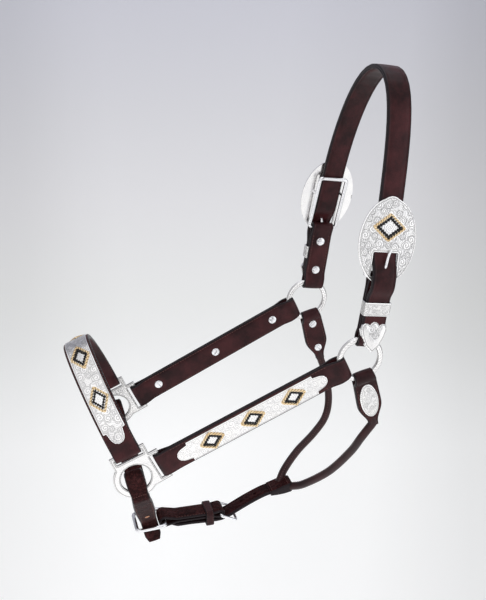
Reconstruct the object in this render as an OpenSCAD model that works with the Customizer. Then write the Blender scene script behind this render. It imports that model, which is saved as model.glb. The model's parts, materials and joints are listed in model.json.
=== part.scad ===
// Western silver-mounted show halter.
// Frame: origin where the crown strap rests on the poll, +Z up, -X towards the nose,
// -Y the horse's near (left) side. Millimetres.

/* [Head fit] */
// Distance between the planes of the two upper rings
ring_span = 168; // [160:1:180]
// Height of the poll above the upper ring centres
ring_drop = 279; // [279:1:279]
// Distance of the poll behind the upper ring centres
ring_forward = 43; // [40:1:46]
// Distance between the planes of the two nose rings
nose_span = 152; // [146:1:158]
// Nose ring centre in front of the upper ring centre
nose_forward = 235; // [225:1:245]
// Nose ring centre below the upper ring centre
nose_drop = 108; // [100:1:116]
// Backward lean of the crown strap, in degrees
crown_lean = 8; // [4:1:12]
// How far the crest of the crown strap sways to the near side
crown_sway = 12; // [0:1:14]
// Forward lean of the noseband, in degrees
nose_lean = 22; // [18:1:26]
// Height of the noseband's front above the nose ring centres
nose_rise = 127; // [115:1:140]

/* [Leather] */
// Width of the crown strap and its chapes
crown_w = 25; // [22:0.5:25.5]
// Width of the cheek straps
cheek_w = 28; // [26:0.5:28]
// Width of the noseband
noseband_w = 28; // [26:0.5:28]
// Width of the chin straps
chin_w = 19; // [16:0.5:20]
// Width of the jaw strap and its chape
jaw_w = 22; // [19:0.5:22]
// Thickness of one ply of leather
ply = 2.6; // [2.4:0.1:2.6]
// Thickness of the jaw strap
jaw_t = 3.6; // [3:0.1:3.6]
// Diameter of the rolled throat straps
roll_d = 9; // [7:0.5:9]

/* [Rings] */
// Outside diameter of the upper rings
ring_od = 50.8; // [50:0.2:51]
// Wire diameter of the upper rings
ring_wire = 6.2; // [5.8:0.1:6.2]
// Outside diameter of a nose ring's round part
eye_od = 46.5; // [46:0.5:48]
// Inside diameter of a nose ring's round part
eye_id = 31.5; // [31:0.5:33]
// Thickness of a nose ring
eye_t = 3; // [2.5:0.1:3]
// Wire diameter of the chin ring
chin_wire = 4.6; // [4:0.1:4.6]

/* [Crown buckles] */
// Height of the engraved oval plate
plate_h = 86; // [84:1:90]
// Width of the engraved oval plate
plate_w = 61; // [58:1:64]
// Thickness of the oval plate
plate_t = 1.6; // [1.2:0.1:1.6]
// Wire diameter of the frame behind the plate
frame_wire = 4.5; // [4:0.1:4.5]
// Inward tilt of the buckle, in degrees
buckle_tilt = 8; // [6:1:10]

/* [Silver] */
// Width of the silver plates on the cheek straps and the noseband
silver_w = 23.4; // [21:0.2:24]
// Thickness of those plates
silver_t = 1.2; // [0.8:0.1:1.4]
// Length of a cheek strap's silver plate
cheek_plate_l = 172; // [160:1:176]
// Distance between diamonds
diamond_pitch = 46.8; // [42:0.2:50]
// Length of a diamond on the straps
diamond_l = 28; // [24:1:30]
// Width of a diamond on the straps
diamond_w = 20; // [16:1:20]
// Length of the diamond on a buckle plate
buckle_diamond_l = 34; // [30:1:36]
// Width of the diamond on a buckle plate
buckle_diamond_w = 27; // [24:1:28]
// Length of the oval concho on a throat tab
concho_l = 40; // [36:1:42]
// Width of that concho
concho_w = 20; // [18:1:22]

/* [Hidden] */
$fn = 48;
gap = 0.05;
// Radial clearance of a hub on its bar
fit = 0.06;
// Room between a strap's loop and the ring it turns on
loop_room = 0.4;
strap_t = 2 * ply;
half_t = strap_t / 2;
ring_r = (ring_od - ring_wire) / 2;
loop_r = ring_wire / 2 + loop_room + 2.8;
loop_at = 20.3;
neck_half = 5.6;
ring_c = [-ring_forward, -ring_span / 2, -ring_drop];
nose_c = [-ring_forward - nose_forward, -nose_span / 2, -ring_drop - nose_drop];
cheek_l = norm(nose_c - ring_c);
crown_offset = 4;
crest_h = 284.3;
// Slot and bar of a nose ring, measured from its centre
slot_in = 22.8;
slot_out = 28.6;
bar_out = 33.1;
eye_lobe = 38;
bar_loop_r = 4.5;
bar_front = 25.4;
nose_offset = 4;
cheek_dir = 180 + atan2(nose_drop, nose_forward);
// Crown chape and buckle heights above the upper ring
chape_half = 3.2;
bar_h = 90;
bar_r = frame_wire / 2;
chape_bar_r = bar_r + loop_room + ply;
chape_screws = [38, 73];
hub_w = 4.6;
hub_room = 5.8;
plate_in = 6;
plate_out = plate_in + plate_t;
frame_top = 60;
frame_half_w = 16;
opening_top = 25;
opening_low = 1;
stud_r = 1.6;
stud_h = 40;
// Tongue wire, its clearance in the strap, its travel, its sideways curl and the hole it passes through
tongue_r = 1.75;
tongue_room = 0.65;
tongue_lift = 6;
tongue_lean = 3;
tongue_hole_h = 31;
tongue_hole_r = 2.1;
billet_end = 14;
billet_turn = 45;
keeper_h = 14;
keeper_low = 51;
// Rope and bead borders of the diamonds: distances from the edge, and height over the silver
rope_in = 1.8;
bead_out = 2.6;
bead_in = 4.8;
rope_rise = 1.8;
bead_rise = 2.2;
// How far the borders reach into the curved noseband plate
curve_sink = 0.3;
// Throat tab
tab_dir = -76;
tab_l = 80;
// Chin ring and jaw strap, in the plane of symmetry
chin_rear = [-ring_forward - 196.4, -ring_drop - 216];
chin_front = [-ring_forward - 229, -ring_drop - 217.5];
chin_half = 17;
jaw_bar = [-ring_forward - 131, -ring_drop - 217];
jaw_end = [-ring_forward - 113, -ring_drop - 226];
jaw_wire = 3.4;
jaw_half = 14.5;
jaw_tongue_r = 1.4;
jaw_chape_half = 3.4;
screw_r = 2;
head_r = 4.8;
head_t = 1.3;
rivet_r = 1.5;
// Routes of the rolled throat straps, from tab to junction
roll_near = [[-23.6, -84, -356.7], [-35, -81, -375], [-41.6, -68, -400],
    [-57, -46, -436], [-77, -20, -466], [-88, -7, -475.5], [-98, -5, -478]];
roll_off = [[-23.6, 84, -356.7], [-17, 79, -380], [-15.6, 69, -408], [-23, 59, -428],
    [-43, 43, -439], [-71, 23, -448], [-91, 9, -461], [-99, 5, -475]];
// Middle line of the jaw strap in the plane of symmetry
jaw_line = [[-102, -478.2], [-118, -480], [-138, -488], [-155, -496.5], [-164, -501.2],
    [-174, -504], [-188, -504], [-208, -502.8], [-232, -502.4]];

// ---- Helpers ----

function unit(v) = v / norm(v);
function smooth(s) = let (c = min(1, max(0, s))) c * c * (3 - 2 * c);
function bezier(a, b, c, d, t) = pow(1 - t, 3) * a + 3 * t * pow(1 - t, 2) * b
    + 3 * t * t * (1 - t) * c + pow(t, 3) * d;
// A point on the Catmull-Rom curve through a list of points, s from 0 to len - 1
function curve(p, s) = let (
        n = len(p) - 1,
        i = min(n - 1, floor(s)),
        t = s - i,
        a = i > 0 ? p[i - 1] : 2 * p[0] - p[1],
        b = p[i],
        c = p[i + 1],
        d = i + 2 <= n ? p[i + 2] : 2 * p[n] - p[n - 1])
    0.5 * (2 * b + (c - a) * t + (2 * a - 5 * b + 4 * c - d) * t * t
        + (3 * b - a - 3 * c + d) * pow(t, 3));
// Direction of a planar path at point i
function heading(p, i) = unit(p[min(len(p) - 1, i + 1)] - p[max(0, i - 1)]);
// The path moved sideways by d
function beside(p, d) = [for (i = [0:len(p) - 1])
    let (h = heading(p, i)) p[i] + d * [-h[1], h[0]]];
function reversed(p) = [for (i = [len(p) - 1:-1:0]) p[i]];
// A closed outline round a planar path, from offset a to offset b
function band(p, a, b) = concat(beside(p, a), reversed(beside(p, b)));
function mirrored(p) = [for (q = reversed(p)) [-q[0], q[1]]];
// A half circle round c, from the side at +Y to the side at -Y, bulging towards -X
function nose_arc(c, r) = [for (a = [90:10:270]) [c + r * cos(a), r * sin(a)]];
function rhombus(l, w) = [[-l / 2, 0], [0, w / 2], [l / 2, 0], [0, -w / 2]];
// The outline of a diamond l by w, and the same made narrower all round by d
module diamond(l, w, d) {
    k = 1 - 2 * d / w;
    polygon(rhombus(l * k, w * k));
}
// A diamond-shaped border between two distances from the edge of a diamond
module diamond_border(l, w, from, to) {
    difference() {
        diamond(l, w, from);
        diamond(l, w, to);
    }
}
// Children with local X from a towards b and local Z near the given direction
module aim(a, b, up) {
    x = unit(b - a);
    y = unit(cross(up, x));
    z = cross(x, y);
    multmatrix([[x[0], y[0], z[0], a[0]], [x[1], y[1], z[1], a[1]],
        [x[2], y[2], z[2], a[2]], [0, 0, 0, 1]]) children();
}
module off() {
    mirror([0, 1, 0]) children();
}
// A slab of an X-Z outline, from y = a to y = b
module face_slab(outline, a, b) {
    translate([0, b, 0]) rotate([90, 0, 0]) linear_extrude(b - a) polygon(outline);
}
// A Y-Z outline drawn out across X, about x = mid
module across(outline, w, mid = 0) {
    translate([mid - w / 2, 0, 0]) rotate([90, 0, 90]) linear_extrude(w) polygon(outline);
}
// A round rod between two points, running past both by an overhang
module rod(a, b, r, past = 0) {
    aim(a, b, abs(unit(b - a)[2]) > 0.9 ? [1, 0, 0] : [0, 0, 1])
        translate([-past, 0, 0]) rotate([0, 90, 0]) cylinder(r = r, h = norm(b - a) + 2 * past);
}
// A round tube swept along a route
module tube(route, r, per_leg) {
    sides = 10;
    n = (len(route) - 1) * per_leg;
    at = [for (i = [0:n]) curve(route, i / per_leg)];
    rings = [for (i = [0:n]) let (
            x = unit(at[min(n, i + 1)] - at[max(0, i - 1)]),
            y = unit(cross([0, 1, 0], x)),
            z = cross(x, y))
        for (k = [0:sides - 1]) at[i] + r * (cos(360 * k / sides) * y + sin(360 * k / sides) * z)];
    walls = [for (i = [0:n - 1]) for (k = [0:sides - 1])
        let (m = (k + 1) % sides, a = i * sides, b = a + sides)
        each [[a + k, b + k, b + m], [a + k, b + m, a + m]]];
    caps = [[for (k = [0:sides - 1]) k], [for (k = [sides - 1:-1:0]) n * sides + k]];
    polyhedron(points = rings, faces = concat(walls, caps), convexity = 6);
}
// A scalloped outline of a silver plate, its length along X
module plate_outline(l, w) {
    lobe = w * 0.30;
    square([l - 4 * lobe, w], center = true);
    for (s = [-1, 1]) {
        translate([s * (l / 2 - lobe), 0]) circle(r = lobe);
        translate([s * (l / 2 - 2 * lobe), 0]) square([2 * lobe, w * 0.74], center = true);
    }
}
// Wire clearance of an upper ring, centred on the origin
module ring_channel() {
    rotate([90, 0, 0]) rotate_extrude($fn = 96) translate([ring_r, 0]) circle(r = ring_wire / 2 + loop_room);
}
// A screw along Y through half thickness t: head inside, barrel flush outside
module screw(t) {
    rotate([90, 0, 0]) {
        translate([0, 0, -t - gap - head_t]) difference() {
            cylinder(r = head_r, h = head_t);
            translate([-head_r, -0.5, -1]) cube([2 * head_r, 1, 1.5]);
        }
        translate([0, 0, -t - gap]) cylinder(r = screw_r, h = 2 * t);
    }
}
module screw_hole(t) {
    rotate([90, 0, 0]) translate([0, 0, -t - 2]) cylinder(r = screw_r + gap, h = 2 * t + 4);
}

// ---- Crown ----

// Local frame of the crown: X across the strap, Z along its lean, from the upper rings
module crown_frame() {
    translate([crown_offset - ring_forward, 0, -ring_drop]) rotate([0, crown_lean, 0]) children();
}
// Local frame of the near buckle: origin on its lower bar, X across, -Y outward, Z up the plate
module buckle_frame() {
    crown_frame() translate([0, -ring_span / 2, bar_h]) rotate([-buckle_tilt, 0, 0]) children();
}
// Points of the near leg as [Y, height], from outward distance t and height h
function leg_point(t, h) = [-ring_span / 2 - t, h];
// The same, from the buckle's own outward distance and height
function buckle_point(t, h) = leg_point(t * cos(buckle_tilt) - h * sin(buckle_tilt),
    bar_h + h * cos(buckle_tilt) + t * sin(buckle_tilt));
billet_t = chape_half + 0.8 + half_t;
tip_slant = 9;
over_t = plate_out + 0.4 + half_t;
under_t = plate_in - 0.4 - half_t;
function billet(h) = h < billet_turn
    ? billet_t + (billet_turn - h) * tan(tip_slant)
    : billet_t + (over_t + 0.9 - billet_t) * smooth((h - 69) / 13);
function inside_plate(h) = over_t + (under_t - over_t) * smooth((h - 2) / 21);
near_leg = concat(
    [for (h = [billet_end, 42, 44, 46, 56, 68, 71, 74, 77, 80, 83]) leg_point(billet(h), h)],
    [for (h = [-2:3:25]) buckle_point(inside_plate(h), h)],
    [buckle_point(under_t, 40)]);
leg_top = buckle_point(under_t, frame_top + 2);
function arch(start, crest) = [for (i = [0:11]) bezier(start, start + [0.145 * -sign(start[0]) * 60, 60],
    [crest[0] + sign(start[0]) * 49, crest[1]], crest, i / 12)];
crest = [-crown_sway, crest_h];
off_top = [-leg_top[0], leg_top[1]];
crown_path = concat(near_leg, arch(leg_top, crest), [crest],
    reversed(arch(off_top, crest)), mirrored(near_leg));

module tongue_shank(r, lift = 0) {
    rotate([lift, 0, 0]) {
        rod([0, -2.5, 2.5], [0, -11, 11.5], r * 0.94, 0.8);
        rod([0, -10.6, 10.6], [tongue_lean, -plate_out - 2.1, 27], r);
    }
}
module crown_strap() {
    color("#2e1512") crown_frame() difference() {
        across(band(crown_path, -half_t, half_t), crown_w);
        for (m = [0, 1], s = [-1, 1]) mirror([0, m, 0]) at_tip()
            face_slab(concat([for (p = point_half(0)) [s * p[0], p[1]]],
                [[s * 20, billet_end + 22], [s * 20, billet_end - 5], [0, billet_end - 5]]), -8, 8);
        for (m = [0, 1]) mirror([0, m, 0]) translate([0, -ring_span / 2, bar_h])
            rotate([-buckle_tilt, 0, 0]) {
            for (lift = [0, tongue_lift / 2, tongue_lift]) tongue_shank(tongue_r + tongue_room, lift);
            translate([0, 0, tongue_hole_h]) rotate([90, 0, 0])
                cylinder(r = tongue_hole_r, h = 20, center = true);
        }
    }
}
module near_crown_chape() {
    half_w = crown_w / 2;
    color("#2e1512") difference() {
        crown_frame() translate([0, -ring_span / 2, 0]) difference() {
            intersection() {
                rotate([0, -90, 0]) translate([0, 0, -half_w]) linear_extrude(crown_w) polygon(concat(
                    nose_arc(loop_at, loop_r),
                    [[23, -loop_r], [27, -neck_half], [33, -chape_half], [78, -chape_half]],
                    [for (a = [-110:10:110]) [bar_h + chape_bar_r * cos(a), chape_bar_r * sin(a)]],
                    [[78, chape_half], [33, chape_half], [27, neck_half], [23, loop_r]]));
                face_slab([[-11.5, 12], [11.5, 12], [half_w, 28], [half_w, 100],
                    [-half_w, 100], [-half_w, 28]], -10, 10);
            }
            translate([0, 0, bar_h]) rotate([0, 90, 0]) cylinder(r = bar_r + 0.3, h = 60, center = true);
            translate([-hub_room / 2, -8, bar_h - 6]) cube([hub_room, 16, 16]);
            translate([-20, -0.6, keeper_low - 4]) cube([40, 1.2, keeper_h + 8]);
            for (h = chape_screws) translate([0, 0, h]) screw_hole(chape_half);
        }
        translate(ring_c) ring_channel();
    }
}
module near_chape_screws() {
    color("#d8d8dc") crown_frame() translate([0, -ring_span / 2, 0])
        for (h = chape_screws) translate([0, 0, h]) screw(chape_half);
}
module near_silver_keeper() {
    in_w = crown_w / 2 + 0.7;
    out_w = in_w + 1.2;
    front = billet_t + half_t + 0.3;
    color("#e6e6ea") crown_frame() translate([0, -ring_span / 2, keeper_low]) difference() {
        translate([-out_w, -front - 1.2, 0]) cube([2 * out_w, front + 1.6, keeper_h]);
        translate([-in_w, -front, -1]) cube([2 * in_w, front - 0.4, keeper_h + 2]);
    }
}
// Local frame of the near billet's end, which slants outward past the upper ring
module at_tip() {
    translate([0, -ring_span / 2 - billet_t, billet_turn]) rotate([-tip_slant, 0, 0])
        translate([0, 0, -billet_turn]) children();
}
// Half outline of the billet's pointed end, made larger by d
function point_half(d) = [[0, billet_end - d * 1.4], [6.3 + d * 0.8, billet_end + 6 - d * 0.8],
    [10.7 + d * 0.9, billet_end + 15 - d * 0.4], [crown_w / 2 + d, billet_end + 21.6]];
module near_silver_tip() {
    top = billet_end + 24;
    wall = 1.1;
    outer = concat(point_half(wall), [[crown_w / 2 + wall, top]]);
    inner = concat(point_half(gap), [[crown_w / 2 + gap, top + 12]]);
    color("#e6e6ea") crown_frame() at_tip() difference() {
        union() {
            face_slab(concat(outer, [for (p = reversed(outer)) [-p[0], p[1]]]),
                -half_t - wall, half_t + 0.5);
            for (x = [-8.6, 0, 8.6]) translate([x, 0, top]) rotate([90, 0, 0])
                cylinder(r = x == 0 ? 5.2 : 4.4, h = half_t + wall);
        }
        face_slab(concat(inner, [for (p = reversed(inner)) [-p[0], p[1]]]),
            -half_t - gap, half_t + gap);
    }
}

// ---- Crown buckles ----

module near_buckle_plate() {
    mid = plate_h / 2 - 7;
    crest_r = 11;
    color("#e6e6ea") buckle_frame() difference() {
        union() {
            translate([0, -plate_in, mid]) rotate([90, 0, 0]) linear_extrude(plate_t)
                scale([plate_w / plate_h, 1]) circle(d = plate_h, $fn = 72);
            translate([0, -plate_in, mid + plate_h / 2 - crest_r + 1.6]) rotate([90, 0, 0])
                cylinder(r = crest_r, h = plate_t);
        }
        translate([-crown_w / 2 - 1, -20, opening_low]) cube([crown_w + 2, 40, opening_top - opening_low]);
    }
}
module near_buckle_frame() {
    top_t = plate_in - 0.8 - strap_t - bar_r;
    w = frame_half_w;
    color("#d0d0d4") buckle_frame() {
        rod([-w, 0, 0], [w, 0, 0], bar_r, bar_r);
        rod([-w, -top_t, frame_top], [w, -top_t, frame_top], bar_r, bar_r);
        for (s = [-1, 1]) {
            rod([s * w, 0, 0], [s * w, -top_t, frame_top], bar_r * 0.94);
            translate([s * w, -plate_in + gap, stud_h]) rotate([-90, 0, 0])
                cylinder(r = stud_r, h = plate_in + 0.7);
        }
    }
}
module near_buckle_tongue() {
    color("#e0e0e4") buckle_frame() difference() {
        union() {
            rotate([0, 90, 0]) cylinder(r = bar_r + 2, h = hub_w, center = true);
            tongue_shank(tongue_r);
        }
        rotate([0, 90, 0]) cylinder(r = bar_r + fit, h = 60, center = true);
    }
}
buckle_diamond_h = 50;
module on_buckle(a, b) {
    buckle_frame() translate([0, -plate_out, buckle_diamond_h]) rotate([90, 0, 0])
        translate([0, 0, a]) linear_extrude(b - a) children();
}
module near_buckle_rope() {
    color("#c89a3c") on_buckle(gap, rope_rise)
        diamond_border(buckle_diamond_l, buckle_diamond_w, 0, rope_in);
}
module near_buckle_beads() {
    color("#141414") on_buckle(gap, bead_rise)
        diamond_border(buckle_diamond_l, buckle_diamond_w, bead_out + 0.5, bead_in + 0.5);
}

// ---- Upper rings and cheeks ----

module near_upper_ring() {
    color("#d8d8dc") translate(ring_c) rotate([90, 0, 0]) rotate_extrude($fn = 96)
        translate([ring_r, 0]) circle(d = ring_wire);
}
// Local frame of the near cheek: X from upper ring to nose ring, Y outward, Z towards the top edge
module cheek_frame() {
    aim(ring_c, nose_c, [0, 0, 1]) children();
}
cheek_bar = cheek_l - (bar_front + bar_loop_r);
// How far inward the nose ring's plane lies from the cheek's middle line at the bar
bar_y = -(bar_front + bar_loop_r) * (ring_span - nose_span) / 2 / cheek_l;
cheek_mid = 125.5;
cheek_screws = [48, cheek_mid, 202];
module near_cheek_strap() {
    half_w = cheek_w / 2;
    color("#2e1512") difference() {
        cheek_frame() difference() {
            intersection() {
                translate([0, 0, -half_w]) linear_extrude(cheek_w) polygon(concat(
                    nose_arc(loop_at, loop_r), [[23, -loop_r], [27, -neck_half], [38, -half_t],
                        [cheek_bar - 15, -half_t], [cheek_bar - 5, bar_y - bar_loop_r]],
                    [for (a = [-90:10:90]) [cheek_bar + bar_loop_r * cos(a), bar_y + bar_loop_r * sin(a)]],
                    [[cheek_bar - 5, bar_y + bar_loop_r], [cheek_bar - 15, half_t], [38, half_t],
                        [27, neck_half], [23, loop_r]]));
                face_slab([[13, -11.3], [28, -half_w], [cheek_l, -half_w], [cheek_l, half_w],
                    [28, half_w], [13, 11.3]], -10, 10);
            }
            translate([cheek_l - bar_out - 0.4, bar_y - eye_t / 2 - 0.6, -30])
                cube([bar_out - slot_out + 0.8, eye_t + 1.2, 60]);
            for (u = cheek_screws) translate([u, 0, 0]) screw_hole(half_t);
        }
        translate(ring_c) ring_channel();
    }
}
module near_cheek_plate() {
    color("#e6e6ea") cheek_frame() translate([cheek_mid, half_t + gap + silver_t, -0.6])
        rotate([90, 0, 0]) linear_extrude(silver_t) plate_outline(cheek_plate_l, silver_w);
}
module on_cheek(a, b) {
    for (k = [-1:1]) cheek_frame()
        translate([cheek_mid + k * diamond_pitch, half_t + gap + silver_t + b, -0.6])
            rotate([90, 0, 0]) linear_extrude(b - a) children();
}
module near_cheek_ropes() {
    color("#c89a3c") on_cheek(gap, rope_rise)
        diamond_border(diamond_l, diamond_w, 0, rope_in);
}
module near_cheek_beads() {
    color("#141414") on_cheek(gap, bead_rise)
        diamond_border(diamond_l, diamond_w, bead_out, bead_in);
}
module near_cheek_screws() {
    color("#d8d8dc") cheek_frame() for (u = cheek_screws) translate([u, 0, 0])
        rotate([0, 0, 180]) screw(half_t);
}

// ---- Throat ----

// Local frame of the near throat tab: X down the tab, Y inward
module tab_frame() {
    aim(ring_c, ring_c + [cos(tab_dir), 0, sin(tab_dir)], [1, 0, 0]) children();
}
tab_screws = [33, 66];
module near_throat_tab() {
    side = concat([[15, 9.8], [28, 12.6], [50, 13.3]],
        [for (u = [56:3:80]) [u, 5 + 8.3 * (0.5 + 0.5 * cos(180 * (u - 56) / 24))]]);
    color("#2e1512") difference() {
        tab_frame() difference() {
            intersection() {
                translate([0, 0, -15]) linear_extrude(30) polygon(concat(nose_arc(loop_at + 0.9, loop_r),
                    [[24, -loop_r], [28, -half_t], [tab_l, -half_t],
                        [tab_l, half_t], [28, half_t], [24, loop_r]]));
                face_slab(concat(side, [for (p = reversed(side)) [p[0], -p[1]]]), -10, 10);
            }
            for (u = tab_screws) translate([u, 0, 0]) screw_hole(half_t);
        }
        translate(ring_c) ring_channel();
    }
}
module near_tab_screws() {
    color("#d8d8dc") tab_frame() for (u = tab_screws) translate([u, 0, 0]) screw(half_t);
}
module near_throat_concho() {
    color("#e6e6ea") tab_frame() translate([50, -half_t - gap, 0]) rotate([90, 0, 0])
        linear_extrude(1.6) scale([concho_l / concho_w, 1]) circle(d = concho_w);
}
module near_throat_roll() {
    color("#2a1310") tube(roll_near, roll_d / 2, 5);
}
module off_throat_roll() {
    color("#2a1310") tube(roll_off, roll_d / 2, 5);
}
module throat_wrap() {
    color("#2e1512") jaw_slab([[-89, -473], [-92, -470], [-98, -469.5], [-112, -474.5], [-114, -478],
        [-113, -482], [-106, -485], [-92, -484], [-88, -480]], 20);
}

// ---- Noseband and nose rings ----

// Local frame of the nose: X across the noseband, Z up its lean, from the nose ring centres
module nose_frame() {
    translate([nose_c[0], 0, nose_c[2]]) rotate([0, -nose_lean, 0]) children();
}
nose_bar = bar_front + bar_loop_r;
half_nose = nose_span / 2;
function nose_half(i) = bezier([-half_nose, nose_bar + 10], [-half_nose, nose_bar + 42],
    [-36, nose_rise], [0, nose_rise], i);
near_nose = [for (i = [0:0.0625:1]) nose_half(i)];
nose_path = concat(near_nose, [for (i = [1:len(near_nose) - 1]) mirrored(near_nose)[i]]);
module noseband() {
    color("#2e1512") nose_frame() difference() {
        across(concat(
            beside(nose_path, half_t),
            [for (a = [20:-20:-200]) [half_nose + bar_loop_r * cos(a), nose_bar + bar_loop_r * sin(a)]],
            reversed(beside(nose_path, -half_t)),
            [for (a = [20:-20:-200]) [-half_nose + bar_loop_r * cos(a), nose_bar + bar_loop_r * sin(a)]]),
            noseband_w, nose_offset);
        for (s = [-1, 1]) translate([-40, s * half_nose - eye_t / 2 - 0.5, slot_out - 0.4])
            cube([80, eye_t + 1, bar_out - slot_out + 0.8]);
    }
}
// The part of the noseband's path that the plate covers
plate_path = [for (i = [0.0625:0.0625:1]) nose_half(i)];
plate_line = concat(plate_path, [for (i = [1:len(plate_path) - 1]) mirrored(plate_path)[i]]);
module noseband_plate() {
    lobe = silver_w * 0.3;
    end_h = plate_path[0][1];
    a = half_t + gap;
    color("#e6e6ea") nose_frame() translate([nose_offset, 0, 0]) difference() {
        across(band(plate_line, a, a + silver_t), silver_w);
        difference() {
            face_slab([[-20, end_h - 5], [20, end_h - 5], [20, end_h + 2 * lobe], [-20, end_h + 2 * lobe]],
                -nose_span, nose_span);
            translate([0, 0, end_h + lobe]) rotate([90, 0, 0])
                cylinder(r = lobe, h = 3 * nose_span, center = true);
            translate([-silver_w * 0.37, -nose_span, end_h + lobe])
                cube([silver_w * 0.74, 2 * nose_span, 60]);
        }
    }
}
// Where the diamonds sit on the noseband: path parameter of each, near side first
diamonds_at = [[0.44, 0.8], [0.44, 0.7]];
module on_noseband(a, b) {
    lift = half_t + gap + silver_t;
    for (m = [0, 1]) mirror([0, m, 0]) for (i = diamonds_at[m]) {
        p = nose_half(i);
        d = unit(nose_half(i + 0.01) - nose_half(i - 0.01));
        nose_frame() translate([nose_offset, p[0], p[1]]) rotate([atan2(d[1], d[0]), 0, 0])
            translate([0, 0, lift + a]) linear_extrude(b - a) rotate(90) children();
    }
}
module noseband_ropes() {
    color("#c89a3c") on_noseband(-curve_sink, rope_rise)
        diamond_border(diamond_l, diamond_w, 0, rope_in);
}
module noseband_beads() {
    color("#141414") on_noseband(-curve_sink, bead_rise)
        diamond_border(diamond_l, diamond_w, bead_out, bead_in);
}
module near_nose_ring() {
    slot = cheek_w + 1.4;
    cheek_at = atan2(nose_drop, nose_forward);
    nose_at = 90 + nose_lean;
    color("#d8d8dc") translate(nose_c + [0, eye_t / 2, 0]) rotate([90, 0, 0]) linear_extrude(eye_t)
        difference() {
            union() {
                circle(d = eye_od, $fn = 72);
                rotate(cheek_at) translate([0, -eye_lobe / 2]) square([bar_out, eye_lobe]);
                rotate(nose_at) translate([0, -nose_offset - eye_lobe / 2]) square([bar_out, eye_lobe]);
            }
            circle(d = eye_id, $fn = 72);
            rotate(cheek_at) translate([slot_in, -slot / 2]) square([slot_out - slot_in, slot]);
            rotate(nose_at) translate([slot_in, -nose_offset - slot / 2]) square([slot_out - slot_in, slot]);
        }
}

// ---- Chin and jaw ----

// Local frame of the chin straps: X across them, Z up, from the nose ring centres
chin_lean = -12;
module chin_frame() {
    translate([nose_c[0], 0, nose_c[2]]) rotate([0, chin_lean, 0]) translate([-1.5, 0, 0]) children();
}
module near_chin_strap() {
    y = -half_nose;
    loop_half = 5.4;
    inner = loop_half - ply;
    top = 3.6;
    color("#2e1512") chin_frame() difference() {
        intersection() {
            across(concat(
                [for (a = [0:15:180]) [y + loop_half * cos(a), top + loop_half * sin(a)]],
                [[y - loop_half, -22], [y - loop_half + 0.9, -26.6], [-15.5, -102], [-14.6, -107],
                    [-14.6, -126], [-13.6, -130], [-10.4, -130], [-9.4, -126], [-9.4, -104], [-11.5, -98.5],
                    [y + loop_half - 0.7, -29.3], [y + loop_half, -22]]), chin_w);
            face_slab([[-7.5, 10], [7.5, 10], [chin_w / 2, 4], [chin_w / 2, -123], [6.5, -131],
                [-6.5, -131], [-chin_w / 2, -123], [-chin_w / 2, 4]], -nose_span, nose_span);
        }
        across(concat([for (a = [0:15:180]) [y + inner * cos(a), top + inner * sin(a)]],
            [[y - inner, -26], [y + inner, -26]]), chin_w + 2);
        at_rivet() cylinder(r = rivet_r + gap, h = 20, center = true);
    }
}
// Where the chin strap's rivet goes through, square to the leather
module at_rivet() {
    translate([0, -31.45, -79.46]) rotate([40.8, 0, 0]) rotate([90, 0, 0]) children();
}
module near_chin_rivet() {
    color("#b98a5a") chin_frame() at_rivet() {
        cylinder(r = rivet_r, h = 2 * half_t + 1, center = true);
        for (s = [-1, 1]) translate([0, 0, s * (half_t + 0.65)]) cylinder(r = 2.6, h = 1, center = true);
    }
}
module chin_ring() {
    r = chin_wire / 2;
    color("#d8d8dc") {
        for (s = [-1, 1]) rod([chin_front[0], s * chin_half, chin_front[1]],
            [chin_rear[0], s * chin_half, chin_rear[1]], r * 0.94);
        for (c = [chin_front, chin_rear]) rod([c[0], -chin_half, c[1]], [c[0], chin_half, c[1]], r, r);
    }
}
jaw_path = [for (i = [0:0.5:len(jaw_line) - 1]) curve(jaw_line, i)];
// An X-Z outline drawn out across the jaw strap's width
module jaw_slab(outline, w) {
    rotate([90, 0, 0]) translate([0, 0, -w / 2]) linear_extrude(w) polygon(outline);
}
module jaw_shank(r) {
    down = unit([jaw_bar[1] - jaw_end[1], jaw_end[0] - jaw_bar[0]]);
    tip = jaw_end - down * (jaw_wire / 2 + 2.5);
    rod([jaw_bar[0] + 2, 0, jaw_bar[1] - 2], [tip[0] + 2, 0, tip[1] - 0.8], r);
}
module jaw_strap() {
    color("#2e1512") difference() {
        jaw_slab(band(jaw_path, -jaw_t / 2, jaw_t / 2), jaw_w - 2);
        jaw_shank(jaw_tongue_r + 0.8);
        translate([jaw_end[0] + 8, 0, jaw_end[1]]) cylinder(r = 1.8, h = 40, center = true);
    }
}
jaw_loop_r = 6.2;
jaw_bar_loop_r = 5;
module jaw_chape() {
    run = jaw_bar - chin_rear;
    color("#2e1512") difference() {
        translate([chin_rear[0], 0, chin_rear[1]]) rotate([0, -atan2(run[1], run[0]), 0])
            jaw_slab(concat([for (a = [60:15:300]) jaw_loop_r * [cos(a), sin(a)]],
                [[15, -jaw_chape_half], [norm(run) - 10, -jaw_chape_half]],
                [for (a = [-105:15:105]) [norm(run) + jaw_bar_loop_r * cos(a), jaw_bar_loop_r * sin(a)]],
                [[norm(run) - 10, jaw_chape_half], [15, jaw_chape_half]]), jaw_w);
        translate([chin_rear[0], 0, chin_rear[1]]) rotate([90, 0, 0])
            cylinder(r = chin_wire / 2 + 0.6, h = 60, center = true);
        translate([jaw_bar[0], 0, jaw_bar[1]]) rotate([90, 0, 0])
            cylinder(r = jaw_wire / 2 + fit, h = 60, center = true);
        translate([jaw_bar[0] - 5, -hub_room / 2, jaw_bar[1] - 8]) cube([16, hub_room, 16]);
    }
}
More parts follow.
